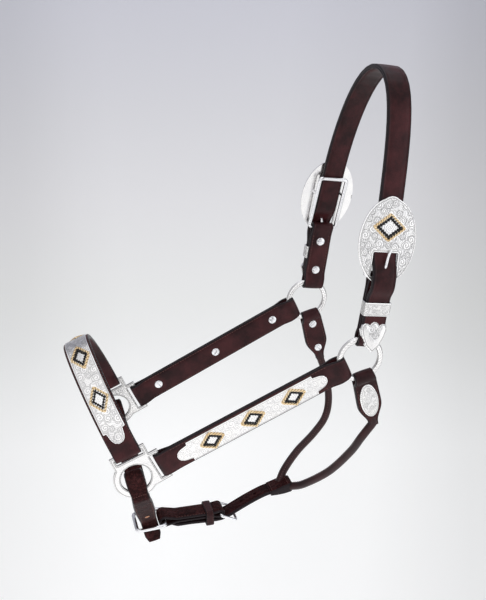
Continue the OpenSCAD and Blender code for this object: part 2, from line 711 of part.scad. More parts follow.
module jaw_keeper() {
    room = 0.8;
    wall = 2;
    len = 9;
    low = jaw_line[6][1] - jaw_t / 2 - room;
    high = jaw_bar[1] + jaw_chape_half + room;
    in_w = jaw_w + 2 * room;
    color("#2e1512") translate([jaw_bar[0] - 17.5, 0, 0]) difference() {
        translate([0, -in_w / 2 - wall, low - wall]) cube([len, in_w + 2 * wall, high - low + 2 * wall]);
        translate([-1, -in_w / 2, low]) cube([len + 2, in_w, high - low]);
    }
}
module jaw_buckle_frame() {
    r = jaw_wire / 2;
    color("#d0d0d4") {
        for (c = [jaw_bar, jaw_end]) rod([c[0], -jaw_half, c[1]], [c[0], jaw_half, c[1]], r, r);
        for (s = [-1, 1]) rod([jaw_bar[0], s * jaw_half, jaw_bar[1]],
            [jaw_end[0], s * jaw_half, jaw_end[1]], r * 0.94);
    }
}
module jaw_buckle_tongue() {
    color("#e0e0e4") difference() {
        union() {
            translate([jaw_bar[0], 0, jaw_bar[1]]) rotate([90, 0, 0])
                cylinder(r = jaw_wire, h = hub_w, center = true);
            jaw_shank(jaw_tongue_r);
        }
        translate([jaw_bar[0], 0, jaw_bar[1]]) rotate([90, 0, 0])
            cylinder(r = jaw_wire / 2 + fit, h = 60, center = true);
    }
}

crown_strap();
noseband();
noseband_plate();
noseband_ropes();
noseband_beads();
near_crown_chape();
off() near_crown_chape();  // off_crown_chape
near_chape_screws();
off() near_chape_screws();  // off_chape_screws
near_buckle_plate();
off() near_buckle_plate();  // off_buckle_plate
near_buckle_frame();
off() near_buckle_frame();  // off_buckle_frame
near_buckle_tongue();
off() near_buckle_tongue();  // off_buckle_tongue
near_buckle_rope();
off() near_buckle_rope();  // off_buckle_rope
near_buckle_beads();
off() near_buckle_beads();  // off_buckle_beads
near_silver_keeper();
off() near_silver_keeper();  // off_silver_keeper
near_silver_tip();
off() near_silver_tip();  // off_silver_tip
near_upper_ring();
off() near_upper_ring();  // off_upper_ring
near_cheek_strap();
off() near_cheek_strap();  // off_cheek_strap
near_cheek_plate();
off() near_cheek_plate();  // off_cheek_plate
near_cheek_ropes();
off() near_cheek_ropes();  // off_cheek_ropes
near_cheek_beads();
off() near_cheek_beads();  // off_cheek_beads
near_cheek_screws();
off() near_cheek_screws();  // off_cheek_screws
near_throat_tab();
off() near_throat_tab();  // off_throat_tab
near_throat_concho();
off() near_throat_concho();  // off_throat_concho
near_tab_screws();
off() near_tab_screws();  // off_tab_screws
near_throat_roll();
off_throat_roll();
throat_wrap();
near_nose_ring();
off() near_nose_ring();  // off_nose_ring
near_chin_strap();
off() near_chin_strap();  // off_chin_strap
near_chin_rivet();
off() near_chin_rivet();  // off_chin_rivet
chin_ring();
jaw_strap();
jaw_chape();
jaw_keeper();
jaw_buckle_frame();
jaw_buckle_tongue();
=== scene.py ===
import json
import math

import bmesh
import bpy
import numpy as np
from mathutils import Matrix, Vector
from mathutils.geometry import delaunay_2d_cdt


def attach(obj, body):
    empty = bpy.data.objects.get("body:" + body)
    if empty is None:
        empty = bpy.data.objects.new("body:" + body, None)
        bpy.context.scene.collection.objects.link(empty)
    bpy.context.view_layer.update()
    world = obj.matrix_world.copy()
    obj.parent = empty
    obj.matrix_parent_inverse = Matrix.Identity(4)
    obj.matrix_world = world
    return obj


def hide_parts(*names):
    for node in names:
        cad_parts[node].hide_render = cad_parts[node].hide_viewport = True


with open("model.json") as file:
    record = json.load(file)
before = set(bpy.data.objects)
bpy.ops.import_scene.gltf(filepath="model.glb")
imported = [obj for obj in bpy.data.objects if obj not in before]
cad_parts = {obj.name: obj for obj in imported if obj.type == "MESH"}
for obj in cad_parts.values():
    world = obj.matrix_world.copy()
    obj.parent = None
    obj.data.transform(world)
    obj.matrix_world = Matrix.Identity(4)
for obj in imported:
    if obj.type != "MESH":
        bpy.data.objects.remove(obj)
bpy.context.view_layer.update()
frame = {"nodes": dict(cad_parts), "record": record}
NODES = frame["nodes"]
BODY_OF = {n: b for b, ns in frame["record"]["behaviour"]["bodies"].items() for n in ns}
MM = 0.001

# ---- local frames, in millimetres


def shift(x, y, z):
    m = np.eye(4)
    m[:3, 3] = (x, y, z)
    return m


def turn(axis, degrees):
    c, s = math.cos(math.radians(degrees)), math.sin(math.radians(degrees))
    i, j = {"x": (1, 2), "y": (2, 0), "z": (0, 1)}[axis]
    m = np.eye(4)
    m[i, i] = m[j, j] = c
    m[i, j], m[j, i] = -s, s
    return m


def unit(v):
    v = np.asarray(v, float)
    return v / np.linalg.norm(v, axis=-1, keepdims=True)


def aim(a, b, up):
    a, b = np.array(a, float), np.array(b, float)
    x = unit(b - a)
    y = unit(np.cross(up, x))
    m = np.eye(4)
    m[:3, 0], m[:3, 1], m[:3, 2], m[:3, 3] = x, y, np.cross(x, y), a
    return m


# half the width between the upper rings, and between the nose rings' eyes
RING_Y, EYE_Y = 84.0, 76.0
RING = np.array([-43.0, -RING_Y, -279.0])
EYE = np.array([-278.0, -EYE_Y, -387.0])
# from a ring's centre up to the buckle's lower bar, and from an eye up or back to a slotted bar
BAR_H = 90.0
NOSE_BAR = 29.9
CROWN_LEAN, BUCKLE_LEAN, TAB_LEAN, NOSE_LEAN, CHIN_LEAN = 8, 8, -76, -22, -12
CROWN = shift(-39, 0, RING[2]) @ turn("y", CROWN_LEAN)
NEAR_LEG = CROWN @ shift(0, -RING_Y, 0)
BUCKLE = CROWN @ shift(0, -RING_Y, BAR_H) @ turn("x", -BUCKLE_LEAN)
CHEEK = aim(RING, EYE, (0, 0, 1))
TAB = aim(RING, RING + [math.cos(math.radians(TAB_LEAN)), 0, math.sin(math.radians(TAB_LEAN))], (1, 0, 0))
NOSE = shift(EYE[0], 0, EYE[2]) @ turn("y", NOSE_LEAN)
CHIN = shift(EYE[0], 0, EYE[2]) @ turn("y", CHIN_LEAN) @ shift(-1.5, 0, 0)
EYE_FLAT = shift(*EYE)
WORLD = np.eye(4)
CHEEK_L = float(np.linalg.norm(EYE - RING))
CHEEK_MID = 125.5


def place(m, p):
    p = np.asarray(p, float)
    return p @ m[:3, :3].T + m[:3, 3]


# ---- materials


def new_material(name):
    m = bpy.data.materials.new(name)
    m.use_nodes = True
    nt = m.node_tree
    return m, nt, nt.nodes["Principled BSDF"]


def node(nt, kind, **values):
    n = nt.nodes.new(kind)
    for k, v in values.items():
        if k in n.inputs:
            n.inputs[k].default_value = v
        else:
            setattr(n, k, v)
    return n


def ramp(nt, source, stops):
    r = nt.nodes.new("ShaderNodeValToRGB")
    while len(r.color_ramp.elements) < len(stops):
        r.color_ramp.elements.new(0.5)
    for e, (pos, col) in zip(r.color_ramp.elements, stops):
        e.position = pos
        e.color = (*col, 1.0) if len(col) == 3 else col
    nt.links.new(source, r.inputs["Fac"])
    return r


def mix_colour(nt, fac, a, b, blend="MIX"):
    m = nt.nodes.new("ShaderNodeMix")
    m.data_type = "RGBA"
    m.blend_type = blend
    for socket, value in ((m.inputs[0], fac), (m.inputs[6], a), (m.inputs[7], b)):
        if hasattr(value, "default_value") or hasattr(value, "is_linked"):
            nt.links.new(value, socket)
        elif isinstance(value, (tuple, list)):
            socket.default_value = (*value, 1.0)
        else:
            socket.default_value = value
    return m.outputs[2]


def math_node(nt, op, *values):
    m = nt.nodes.new("ShaderNodeMath")
    m.operation = op
    for socket, value in zip(m.inputs, values):
        if hasattr(value, "is_linked"):
            nt.links.new(value, socket)
        else:
            socket.default_value = value
    return m.outputs[0]


def dot_node(nt, at, direction):
    """The distance of a point along a direction."""
    n = node(nt, "ShaderNodeVectorMath", operation="DOT_PRODUCT")
    n.inputs[1].default_value = direction
    nt.links.new(at, n.inputs[0])
    return n.outputs["Value"]


def bump_from(nt, bsdf, height, strength, distance):
    bump = node(nt, "ShaderNodeBump", Strength=strength, Distance=distance)
    nt.links.new(height, bump.inputs["Height"])
    nt.links.new(bump.outputs["Normal"], bsdf.inputs["Normal"])


def leather(name, dark, light, rough, grain, coat, creased=0.0):
    m, nt, bsdf = new_material(name)
    at = nt.nodes.new("ShaderNodeTexCoord").outputs["Object"]
    cloud = node(nt, "ShaderNodeTexNoise", Scale=38.0, Detail=5.0, Roughness=0.62)
    pores = node(nt, "ShaderNodeTexVoronoi", Scale=900.0, feature="DISTANCE_TO_EDGE")
    creases = node(nt, "ShaderNodeTexNoise", Scale=420.0 - 250.0 * creased, Detail=6.0, Roughness=0.6)
    fibre = node(nt, "ShaderNodeTexNoise", Scale=2400.0, Detail=2.0)
    for n in (cloud, pores, creases, fibre):
        nt.links.new(at, n.inputs["Vector"])
    tone = ramp(nt, cloud.outputs["Fac"], [(0.36, dark), (0.64, light)])
    pits = ramp(nt, pores.outputs["Distance"], [(0.0, (0.62,) * 3), (0.12, (1.0,) * 3)])
    col = mix_colour(nt, 0.8, tone.outputs["Color"], pits.outputs["Color"], "MULTIPLY")
    # painted shade: the colour is darkened along the crease lines, over the creases' real bump
    if creased:
        crease_shade_depth = 1 - 0.75 * creased
        painted_crease_shade = ramp(nt, creases.outputs["Fac"],
                     [(0.44, (1.0,) * 3), (0.49, (crease_shade_depth,) * 3), (0.53, (crease_shade_depth,) * 3), (0.57, (1.0,) * 3)])
        col = mix_colour(nt, 1.0, col, painted_crease_shade.outputs["Color"], "MULTIPLY")
    nt.links.new(col, bsdf.inputs["Base Color"])
    r = math_node(nt, "MULTIPLY_ADD", cloud.outputs["Fac"], 0.22, rough - 0.1)
    nt.links.new(r, bsdf.inputs["Roughness"])
    fine = node(nt, "ShaderNodeBump", Strength=grain, Distance=0.00022)
    wide = node(nt, "ShaderNodeBump", Strength=grain * 0.8 + creased, Distance=0.0005 + 0.0012 * creased)
    nt.links.new(math_node(nt, "ADD", pores.outputs["Distance"],
                           math_node(nt, "MULTIPLY", fibre.outputs["Fac"], 0.3)), fine.inputs["Height"])
    nt.links.new(creases.outputs["Fac"], wide.inputs["Height"])
    nt.links.new(fine.outputs["Normal"], wide.inputs["Normal"])
    nt.links.new(wide.outputs["Normal"], bsdf.inputs["Normal"])
    bsdf.inputs["Coat Weight"].default_value = coat
    bsdf.inputs["Coat Roughness"].default_value = 0.32
    bsdf.inputs["Specular IOR Level"].default_value = 0.2 - 0.18 * creased
    bsdf.inputs["Specular Tint"].default_value = (1.0, 0.80, 0.84, 1.0)
    return m


def metal(name, base, shade, rough, scratch=0.25, ink_and_painted_shade=False):
    m, nt, bsdf = new_material(name)
    at = nt.nodes.new("ShaderNodeTexCoord").outputs["Object"]
    haze = node(nt, "ShaderNodeTexNoise", Scale=90.0, Detail=4.0, Roughness=0.6)
    fine = node(nt, "ShaderNodeTexNoise", Scale=1500.0, Detail=3.0)
    scuffs = node(nt, "ShaderNodeTexVoronoi", Scale=260.0, feature="DISTANCE_TO_EDGE")
    for n in (haze, fine, scuffs):
        nt.links.new(at, n.inputs["Vector"])
    col = ramp(nt, haze.outputs["Fac"], [(0.3, shade), (0.7, base)]).outputs["Color"]
    r = math_node(nt, "MULTIPLY_ADD", haze.outputs["Fac"], 0.16, rough - 0.08)
    # The vertex attribute darkens the colour: the engraved lines, and painted shade in the gold rope's gaps
    # and along the nose rings' edges.
    if ink_and_painted_shade:
        cut = node(nt, "ShaderNodeAttribute", attribute_name="ink_and_painted_shade")
        dark = tuple(c * 0.24 for c in shade)
        col = mix_colour(nt, cut.outputs["Fac"], col, dark)
        r = math_node(nt, "ADD", r, math_node(nt, "MULTIPLY", cut.outputs["Fac"], 0.22))
    nt.links.new(col, bsdf.inputs["Base Color"])
    nt.links.new(r, bsdf.inputs["Roughness"])
    rough_height = math_node(nt, "ADD", fine.outputs["Fac"], scuffs.outputs["Distance"])
    bump_from(nt, bsdf, rough_height, scratch, 0.00006)
    bsdf.inputs["Metallic"].default_value = 1.0
    return m


def thread_material():
    m, nt, bsdf = new_material("thread")
    at = nt.nodes.new("ShaderNodeTexCoord").outputs["Object"]
    twist = node(nt, "ShaderNodeTexWave", Scale=900.0, Distortion=3.0)
    nt.links.new(at, twist.inputs["Vector"])
    col = ramp(nt, twist.outputs["Fac"], [(0.2, (0.045, 0.014, 0.012)), (0.8, (0.15, 0.05, 0.04))])
    nt.links.new(col.outputs["Color"], bsdf.inputs["Base Color"])
    bump_from(nt, bsdf, twist.outputs["Fac"], 0.5, 0.0001)
    bsdf.inputs["Roughness"].default_value = 0.6
    return m


def bead_material():
    m, nt, bsdf = new_material("black_bead")
    at = nt.nodes.new("ShaderNodeTexCoord").outputs["Object"]
    swirl = node(nt, "ShaderNodeTexNoise", Scale=500.0, Detail=2.0)
    nt.links.new(at, swirl.inputs["Vector"])
    col = ramp(nt, swirl.outputs["Fac"], [(0.3, (0.002, 0.002, 0.003)), (0.75, (0.012, 0.011, 0.013))])
    nt.links.new(col.outputs["Color"], bsdf.inputs["Base Color"])
    bsdf.inputs["Roughness"].default_value = 0.22
    bsdf.inputs["Specular IOR Level"].default_value = 0.3
    return m


HIDE = leather("leather", (0.013, 0.0027, 0.0030), (0.054, 0.0120, 0.0132), 0.37, 0.45, 0.04)
EDGE = leather("leather_edge", (0.0035, 0.0022, 0.0030), (0.009, 0.0055, 0.0075), 0.34, 0.25, 0.1)
ROLLED = leather("leather_rolled", (0.014, 0.0042, 0.0046), (0.036, 0.0115, 0.012), 0.34, 0.38, 0.22)
CREASED_SHADED = leather("leather_creased_painted_shade", (0.018, 0.0050, 0.0050), (0.060, 0.0175, 0.0175), 0.5, 0.5, 0.0, 0.8)
SILVER = metal("engraved_silver", (0.96, 0.95, 0.93), (0.86, 0.85, 0.85), 0.22, 0.3, ink_and_painted_shade=True)
NICKEL = metal("nickel", (0.88, 0.88, 0.89), (0.74, 0.74, 0.76), 0.2, 0.3)
GOLD = metal("gold_rope", (0.95, 0.78, 0.52), (0.80, 0.56, 0.29), 0.28, 0.3, ink_and_painted_shade=True)
COPPER = metal("copper", (0.72, 0.36, 0.20), (0.42, 0.20, 0.12), 0.34, 0.4)
THREAD = thread_material()
BEAD = bead_material()
# slot, and the angle in degrees above which edges stay sharp, by a piece's first material
LOOKS = {SILVER.name: ("engraved_silver", 38), NICKEL.name: ("nickel_hardware", 38),
         GOLD.name: ("gold_rope", 60), BEAD.name: ("black_beads", 20), COPPER.name: ("copper_rivet", 38)}
RING_SHARP = 50

# ---- mesh helpers


class Geo:
    """Vertices in millimetres, faces with a material index, and per vertex an amount of darkening: the
    engraved lines, and painted shade on some parts.
    """

    def __init__(self):
        self.v, self.f, self.m, self.ink_and_painted_shade, self.flat, self.n = [], [], [], [], [], 0

    def add(self, verts, faces, mat=0, ink_and_painted_shade=None, flat=()):
        verts = np.asarray(verts, float).reshape(-1, 3)
        self.v.append(verts)
        self.ink_and_painted_shade.append(np.zeros(len(verts)) if ink_and_painted_shade is None else np.asarray(ink_and_painted_shade, float))
        self.flat += [len(self.f) + i for i in flat]
        mats = mat if isinstance(mat, (list, np.ndarray)) else [mat] * len(faces)
        for face, k in zip(faces, mats):
            self.f.append([int(i) + self.n for i in face])
            self.m.append(int(k))
        self.n += len(verts)
        return self

    def extend(self, other, matrix=None):
        v = np.concatenate(other.v)
        v = v if matrix is None else place(matrix, v)
        self.add(v, other.f, np.array(other.m), np.concatenate(other.ink_and_painted_shade), other.flat)
        return self


def punch(o, holes):
    """Cuts round holes through an object: each is a world matrix in millimetres, a radius and a depth."""
    cutters = []
    for matrix, radius, depth in holes:
        ring = [(radius * math.cos(a), radius * math.sin(a)) for a in np.radians(np.arange(0, 360, 15))]
        k = len(ring)
        v = [(x, y, z) for z in (-depth, depth) for x, y in ring]
        f = [(i, (i + 1) % k, k + (i + 1) % k, k + i) for i in range(k)]
        f += [list(range(k))[::-1], list(range(k, 2 * k))]
        mesh = bpy.data.meshes.new("cutter")
        mesh.from_pydata((place(matrix, v) * MM).tolist(), [], f)
        c = bpy.data.objects.new("cutter", mesh)
        bpy.context.scene.collection.objects.link(c)
        cutters.append(c)
        m = o.modifiers.new("hole", "BOOLEAN")
        m.operation, m.object, m.solver = "DIFFERENCE", c, "EXACT"
    made = bpy.data.meshes.new_from_object(o.evaluated_get(bpy.context.evaluated_depsgraph_get()))
    o.modifiers.clear()
    for c in cutters:
        bpy.data.meshes.remove(c.data)
    return made


def emit(name, geo, cad, materials, matrix=WORLD, mirrored=False, sharp=None, holes=()):
    """Makes the mesh object for the CAD node cad from geo, which is in the local frame matrix."""
    slot, usual_sharp = LOOKS.get(materials[0].name, ("leather", 38))
    v = place(matrix, np.concatenate(geo.v)) * MM
    faces = geo.f
    if mirrored:
        v = v * [1, -1, 1]
        faces = [f[::-1] for f in faces]
    mesh = bpy.data.meshes.new(name)
    mesh.from_pydata(v.tolist(), [], faces)
    for m in materials:
        mesh.materials.append(m)
    mesh.polygons.foreach_set("material_index", geo.m)
    smooth = np.ones(len(faces), bool)
    smooth[geo.flat] = False
    mesh.polygons.foreach_set("use_smooth", smooth)
    ink_and_painted_shade = np.concatenate(geo.ink_and_painted_shade)
    if ink_and_painted_shade.any():
        mesh.attributes.new("ink_and_painted_shade", "FLOAT", "POINT").data.foreach_set("value", ink_and_painted_shade.astype(np.float32))
    bm = bmesh.new()
    bm.from_mesh(mesh)
    bmesh.ops.recalc_face_normals(bm, faces=bm.faces)
    bm.to_mesh(mesh)
    bm.free()
    o = bpy.data.objects.new(name, mesh)
    bpy.context.scene.collection.objects.link(o)
    if holes:
        o.data = punch(o, holes)
        bpy.data.meshes.remove(mesh)
        mesh = o.data
        mesh.name = name
    mesh.set_sharp_from_angle(angle=math.radians(sharp or usual_sharp))
    mesh.update()
    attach(o, BODY_OF[cad])
    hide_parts(cad)


def both(name, geo, cad, materials, matrix, sharp=None):
    """The near piece and its mirror image on the off side; cad is the node's name without its side."""
    for side in ("near", "off"):
        emit(f"{side}_{name}", geo, f"{side}_{cad}", materials, matrix, side == "off", sharp)


def arc(cx, cy, r, a, b, step=12):
    n = max(2, int(abs(b - a) / step) + 1)
    t = np.radians(np.linspace(a, b, n))
    return [(cx + r * math.cos(x), cy + r * math.sin(x)) for x in t]


def resample(p, step, closed=False, soften=0.0):
    """Points an even distance apart along a polyline, softened by a short moving average."""
    p = np.asarray(p, float)

    def even(q, s):
        q = np.vstack([q, q[:1]]) if closed else q
        d = distances(q)
        n = max(3, int(round(d[-1] / s)))
        out = spread(q, np.linspace(0, d[-1], n + 1), d)
        return out[:-1] if closed else out

    if soften:
        fine = 0.4
        q = even(p, fine)
        w = max(1, int(soften / fine))
        kernel = np.hanning(2 * w + 3)[1:-1]
        kernel /= kernel.sum()
        if closed:
            padded = np.vstack([q[-w:], q, q[:w]])
        else:
            padded = np.vstack([2 * q[0] - q[w:0:-1], q, 2 * q[-1] - q[-2:-w - 2:-1]])
        p = np.stack([np.convolve(padded[:, k], kernel, "valid") for k in range(q.shape[1])], 1)
    return even(p, step)


def curve(points, s):
    """A point on the Catmull-Rom curve through points."""
    p = np.asarray(points, float)
    n = len(p) - 1
    i = min(n - 1, int(math.floor(s)))
    t = s - i
    a = p[i - 1] if i > 0 else 2 * p[0] - p[1]
    b, c = p[i], p[i + 1]
    d = p[i + 2] if i + 2 <= n else 2 * p[n] - p[n - 1]
    square, cube = 2 * a - 5 * b + 4 * c - d, 3 * b - a - 3 * c + d
    return 0.5 * (2 * b + (c - a) * t + square * t * t + cube * t ** 3)


def distances(p):
    """The distance along a polyline at each of its points."""
    return np.concatenate([[0], np.cumsum(np.linalg.norm(np.diff(p, axis=0), axis=1))])


def spread(p, at, d):
    """The points of a polyline at the distances at, where d is the distance at each of its points."""
    return np.stack([np.interp(at, d, p[:, k]) for k in range(p.shape[1])], -1)


def quads(rings, sides, closed):
    """The faces between successive rings of points; closed also joins the last ring to the first."""
    faces = []
    for i in range(rings if closed else rings - 1):
        a, b = i * sides, ((i + 1) % rings) * sides
        faces += [(a + j, b + j, b + (j + 1) % sides, a + (j + 1) % sides) for j in range(sides)]
    return faces


def tangents(p, closed):
    if closed:
        return unit(np.roll(p, -1, 0) - np.roll(p, 1, 0))
    return unit(np.gradient(p, axis=0))


def section(w, h, seam, inset):
    """A strap's cross-section: crowned faces with a line creased near each edge, and rounded edges."""
    k = min(1.0, w / 6.0)
    r = min(0.86 * h, 1.5 * k + 0.05)
    c = inset * k
    inner = w - r
    line = w - max(c, r + 0.7 * k)
    half = [(inner, h), (line + 0.55 * k, h), (line, h - 0.2 * k), (line - 0.55 * k, h + 0.02),
            (0.55 * line, h + 0.14 * k), (0.25 * line, h + 0.2 * k)]
    top = [(-a, b) for a, b in half] + [(0.0, h + 0.22 * k)] + half[::-1]
    edge = arc(w - r, h - r, r, 68, 0, 17)
    if seam:
        g = min(0.4, (h - r) * 0.8)
        edge += [(w - 0.02, g), (w - 0.34 * k, 0.0), (w - 0.02, -g)]
    edge += [(a, -b) for a, b in reversed(arc(w - r, h - r, r, 68, 0, 17))]
    bottom = [(a, -b) for a, b in reversed(top)]
    pts = top + edge + bottom + [(-a, -b) for a, b in edge]
    kinds = [0] * (len(top) - 1) + [1] * (len(edge) + 1) + [0] * (len(bottom) - 1) + [1] * (len(edge) + 1)
    return np.array(pts), kinds


def ribbon(path, across, w, h, closed=False, seam=True, inset=3.0):
    """A strap along path, its width along across; w and h are half width and half thickness, per point."""
    p = np.asarray(path, float)
    n = len(p)
    w = np.broadcast_to(np.asarray(w, float), n)
    h = np.broadcast_to(np.asarray(h, float), n)
    side = np.broadcast_to(unit(across), (n, 3))
    t = tangents(p, closed)
    up = unit(np.cross(t, side))
    rings, kinds = [], None
    for i in range(n):
        s, kinds = section(w[i], h[i], seam, inset)
        rings.append(p[i] + s[:, :1] * side[i] + s[:, 1:] * up[i])
    k = len(rings[0])
    faces = quads(n, k, closed)
    mat = kinds * (len(faces) // k)
    verts = np.concatenate(rings)
    if not closed:
        for base, centre, flip in ((0, p[0], False), ((n - 1) * k, p[-1], True)):
            verts = np.vstack([verts, centre])
            c = len(verts) - 1
            for j in range(k):
                f = (base + j, base + (j + 1) % k, c)
                faces.append(f[::-1] if flip else f)
                mat.append(1)
    return Geo().add(verts, faces, mat), p, side, up


def stitches(geo, points, normals, mat=2, pitch=3.3, length=2.3, radius=0.36):
    """A row of thread stitches along a line on a surface."""
    points, normals = np.asarray(points, float), np.asarray(normals, float)
    d = distances(points)
    count = int(d[-1] / pitch)
    if count < 1:
        return
    starts = (np.arange(count) + 0.5) * d[-1] / count
    rings = [(-0.5, 0.35, -0.25), (-0.36, 0.8, 0.05), (0.0, 1.0, 0.16), (0.36, 0.8, 0.05), (0.5, 0.35, -0.25)]
    normal = unit(spread(normals, starts, d))
    centre = spread(points, starts, d)
    reach = 0.6
    along = unit(spread(points, np.minimum(starts + reach, d[-1]), d)
                 - spread(points, np.maximum(starts - reach, 0), d))
    side = unit(np.cross(normal, along))
    sides = 6
    verts, faces = [], []
    for c, a, s, u in zip(centre, along, side, normal):
        base = len(verts)
        for x, r, lift in rings:
            for q in range(sides):
                th = 2 * math.pi * q / sides
                round_it = math.cos(th) * s + math.sin(th) * u
                verts.append(c + a * x * length + radius * r * round_it + u * lift)
        faces += [tuple(base + i for i in f) for f in quads(len(rings), sides, False)]
        faces.append([base + q for q in range(sides)])
        faces.append([base + (len(rings) - 1) * sides + q for q in reversed(range(sides))])
    geo.add(verts, faces, mat)


def seam_rows(geo, made, w, h, pick, faces=(1,), inset=3.0, **kw):
    """Stitch rows just inside both edges of a ribbon, on the faces listed, where pick is true."""
    _, p, side, up = made
    w = np.broadcast_to(np.asarray(w, float), len(p))
    h = np.broadcast_to(np.asarray(h, float), len(p))
    idx = np.where(pick)[0]
    if len(idx) < 2:
        return
    for run in np.split(idx, np.where(np.diff(idx) > 1)[0] + 1):
        if len(run) < 3:
            continue
        for s in (-1, 1):
            for f in faces:
                lift = (h[run] - 0.14)[:, None]
                line = p[run] + s * (w[run] - inset)[:, None] * side[run] + f * lift * up[run]
                stitches(geo, line, f * up[run], **kw)


def tube(path, radius, closed=False, sides=16, geo=None, start_side=(0, 1, 0)):
    """A tube with a radius per point; a reference direction keeps it from twisting."""
    p = np.asarray(path, float)
    n = len(p)
    radius = np.broadcast_to(np.asarray(radius, float), n)
    t = tangents(p, closed)
    frames = []
    s = np.array(start_side, float)
    s = unit(s - t[0] * (s @ t[0]))
    for i in range(n):
        s = unit(s - t[i] * (s @ t[i]))
        frames.append((s, np.cross(t[i], s)))
    th = 2 * np.pi * np.arange(sides) / sides
    verts = np.concatenate([p[i] + radius[i] * (np.cos(th)[:, None] * a + np.sin(th)[:, None] * b)
                            for i, (a, b) in enumerate(frames)])
    faces = quads(n, sides, closed)
    if not closed:
        faces.append([j for j in range(sides)][::-1])
        faces.append([(n - 1) * sides + j for j in range(sides)])
    return (geo or Geo()).add(verts, faces)


def rounded_corners(corners, radius, step=18):
    """A closed path in 3-D through corners, each rounded off."""
    c = np.asarray(corners, float)
    out = []
    for i in range(len(c)):
        a, b, d = c[i - 1], c[i], c[(i + 1) % len(c)]
        u, v = unit(a - b), unit(d - b)
        half = math.acos(max(-1, min(1, float(u @ v)))) / 2
        cut = min(radius / math.tan(half), 0.45 * np.linalg.norm(a - b), 0.45 * np.linalg.norm(d - b))
        r = cut * math.tan(half)
        centre = b + unit(u + v) * (r / math.sin(half))
        p0, p1 = b + u * cut - centre, b + v * cut - centre
        ang = math.acos(max(-1, min(1, float(unit(p0) @ unit(p1)))))
        k = max(2, int(math.degrees(ang) / step) + 1)
        for q in range(k + 1):
            x = q / k
            out.append(centre + (math.sin((1 - x) * ang) * p0 + math.sin(x * ang) * p1) / math.sin(ang))
    return np.array(out)


# ---- engraved plates


def outline(name, matrix, axis, sign):
    """The loops round a CAD node's outermost flat face along a local axis, longest first, as 2-D points."""
    mesh = NODES[name].data
    inverse = np.linalg.inv(matrix)
    co = place(inverse, np.array([v.co for v in mesh.vertices]) / MM)
    key = {}
    merged = [key.setdefault(tuple(np.round(c, 2)), i) for i, c in enumerate(co)]
    level = max(sign * co[:, axis])
    count = {}
    for poly in mesh.polygons:
        ids = [merged[i] for i in poly.vertices]
        if all(abs(sign * co[i, axis] - level) < 0.02 for i in ids):
            for a, b in zip(ids, ids[1:] + ids[:1]):
                k = (min(a, b), max(a, b))
                count[k] = count.get(k, 0) + 1
    nexts = {}
    for (a, b), c in count.items():
        if c == 1:
            nexts.setdefault(a, []).append(b)
            nexts.setdefault(b, []).append(a)
    loops, seen = [], set()
    keep = [k for k in range(3) if k != axis]
    for start in nexts:
        if start in seen:
            continue
        loop, here = [], start
        while here is not None and here not in seen:
            seen.add(here)
            loop.append(co[here][keep])
            here = next((q for q in nexts[here] if q not in seen), None)
        loops.append(np.array(loop))
    size = [np.linalg.norm(np.diff(np.vstack([q, q[:1]]), axis=0), axis=1).sum() for q in loops]
    return [loops[i] for i in np.argsort(size)[::-1]]


def signed_area(q):
    x, y = q[:, 0], q[:, 1]
    return 0.5 * float(np.sum(x * np.roll(y, -1) - np.roll(x, -1) * y))


def keep_corners(loop, step):
    """A closed loop with extra points so that no edge is longer than step."""
    out = []
    n = len(loop)
    for i in range(n):
        a, b = loop[i], loop[(i + 1) % n]
        k = max(1, int(math.ceil(np.linalg.norm(b - a) / step)))
        out += [a + (b - a) * j / k for j in range(k)]
    return np.array(out)


def inside(pts, loop):
    x, y = pts[:, 0][:, None], pts[:, 1][:, None]
    a, b = loop, np.roll(loop, -1, 0)
    crosses = (a[:, 1] > y) != (b[:, 1] > y)
    with np.errstate(divide="ignore", invalid="ignore"):
        at = (b[:, 0] - a[:, 0]) * (y - a[:, 1]) / (b[:, 1] - a[:, 1]) + a[:, 0]
    return (np.sum(crosses & (x < at), axis=1) % 2) == 1


def edge_distance(pts, loops):
    best = np.full(len(pts), 1e9)
    for loop in loops:
        a, b = loop, np.roll(loop, -1, 0)
        d = b - a
        l2 = np.maximum((d ** 2).sum(1), 1e-9)
        for i in range(0, len(pts), 2000):
            q = pts[i:i + 2000]
            t = np.clip(((q[:, None] - a) * d).sum(2) / l2, 0, 1)
            near = np.linalg.norm(q[:, None] - (a + t[..., None] * d), axis=2).min(1)
            best[i:i + 2000] = np.minimum(best[i:i + 2000], near)
    return best


def filled(rings, extra):
    """Triangles that fill the first ring and leave the others open, through extra points inside."""
    verts = np.vstack(list(rings) + ([extra] if len(extra) else []))
    edges, base = [], 0
    for q in rings:
        edges += [(base + i, base + (i + 1) % len(q)) for i in range(len(q))]
        base += len(q)
    got = delaunay_2d_cdt([Vector(p) for p in verts], edges, [], 0, 1e-5)
    pts = np.array([tuple(p) for p in got[0]])
    tris = np.array([t for t in got[2] if len(t) == 3])
    mid = pts[tris].mean(1)
    keep = inside(mid, rings[0])
    for q in rings[1:]:
        keep &= ~inside(mid, q)
    return pts, tris[keep]


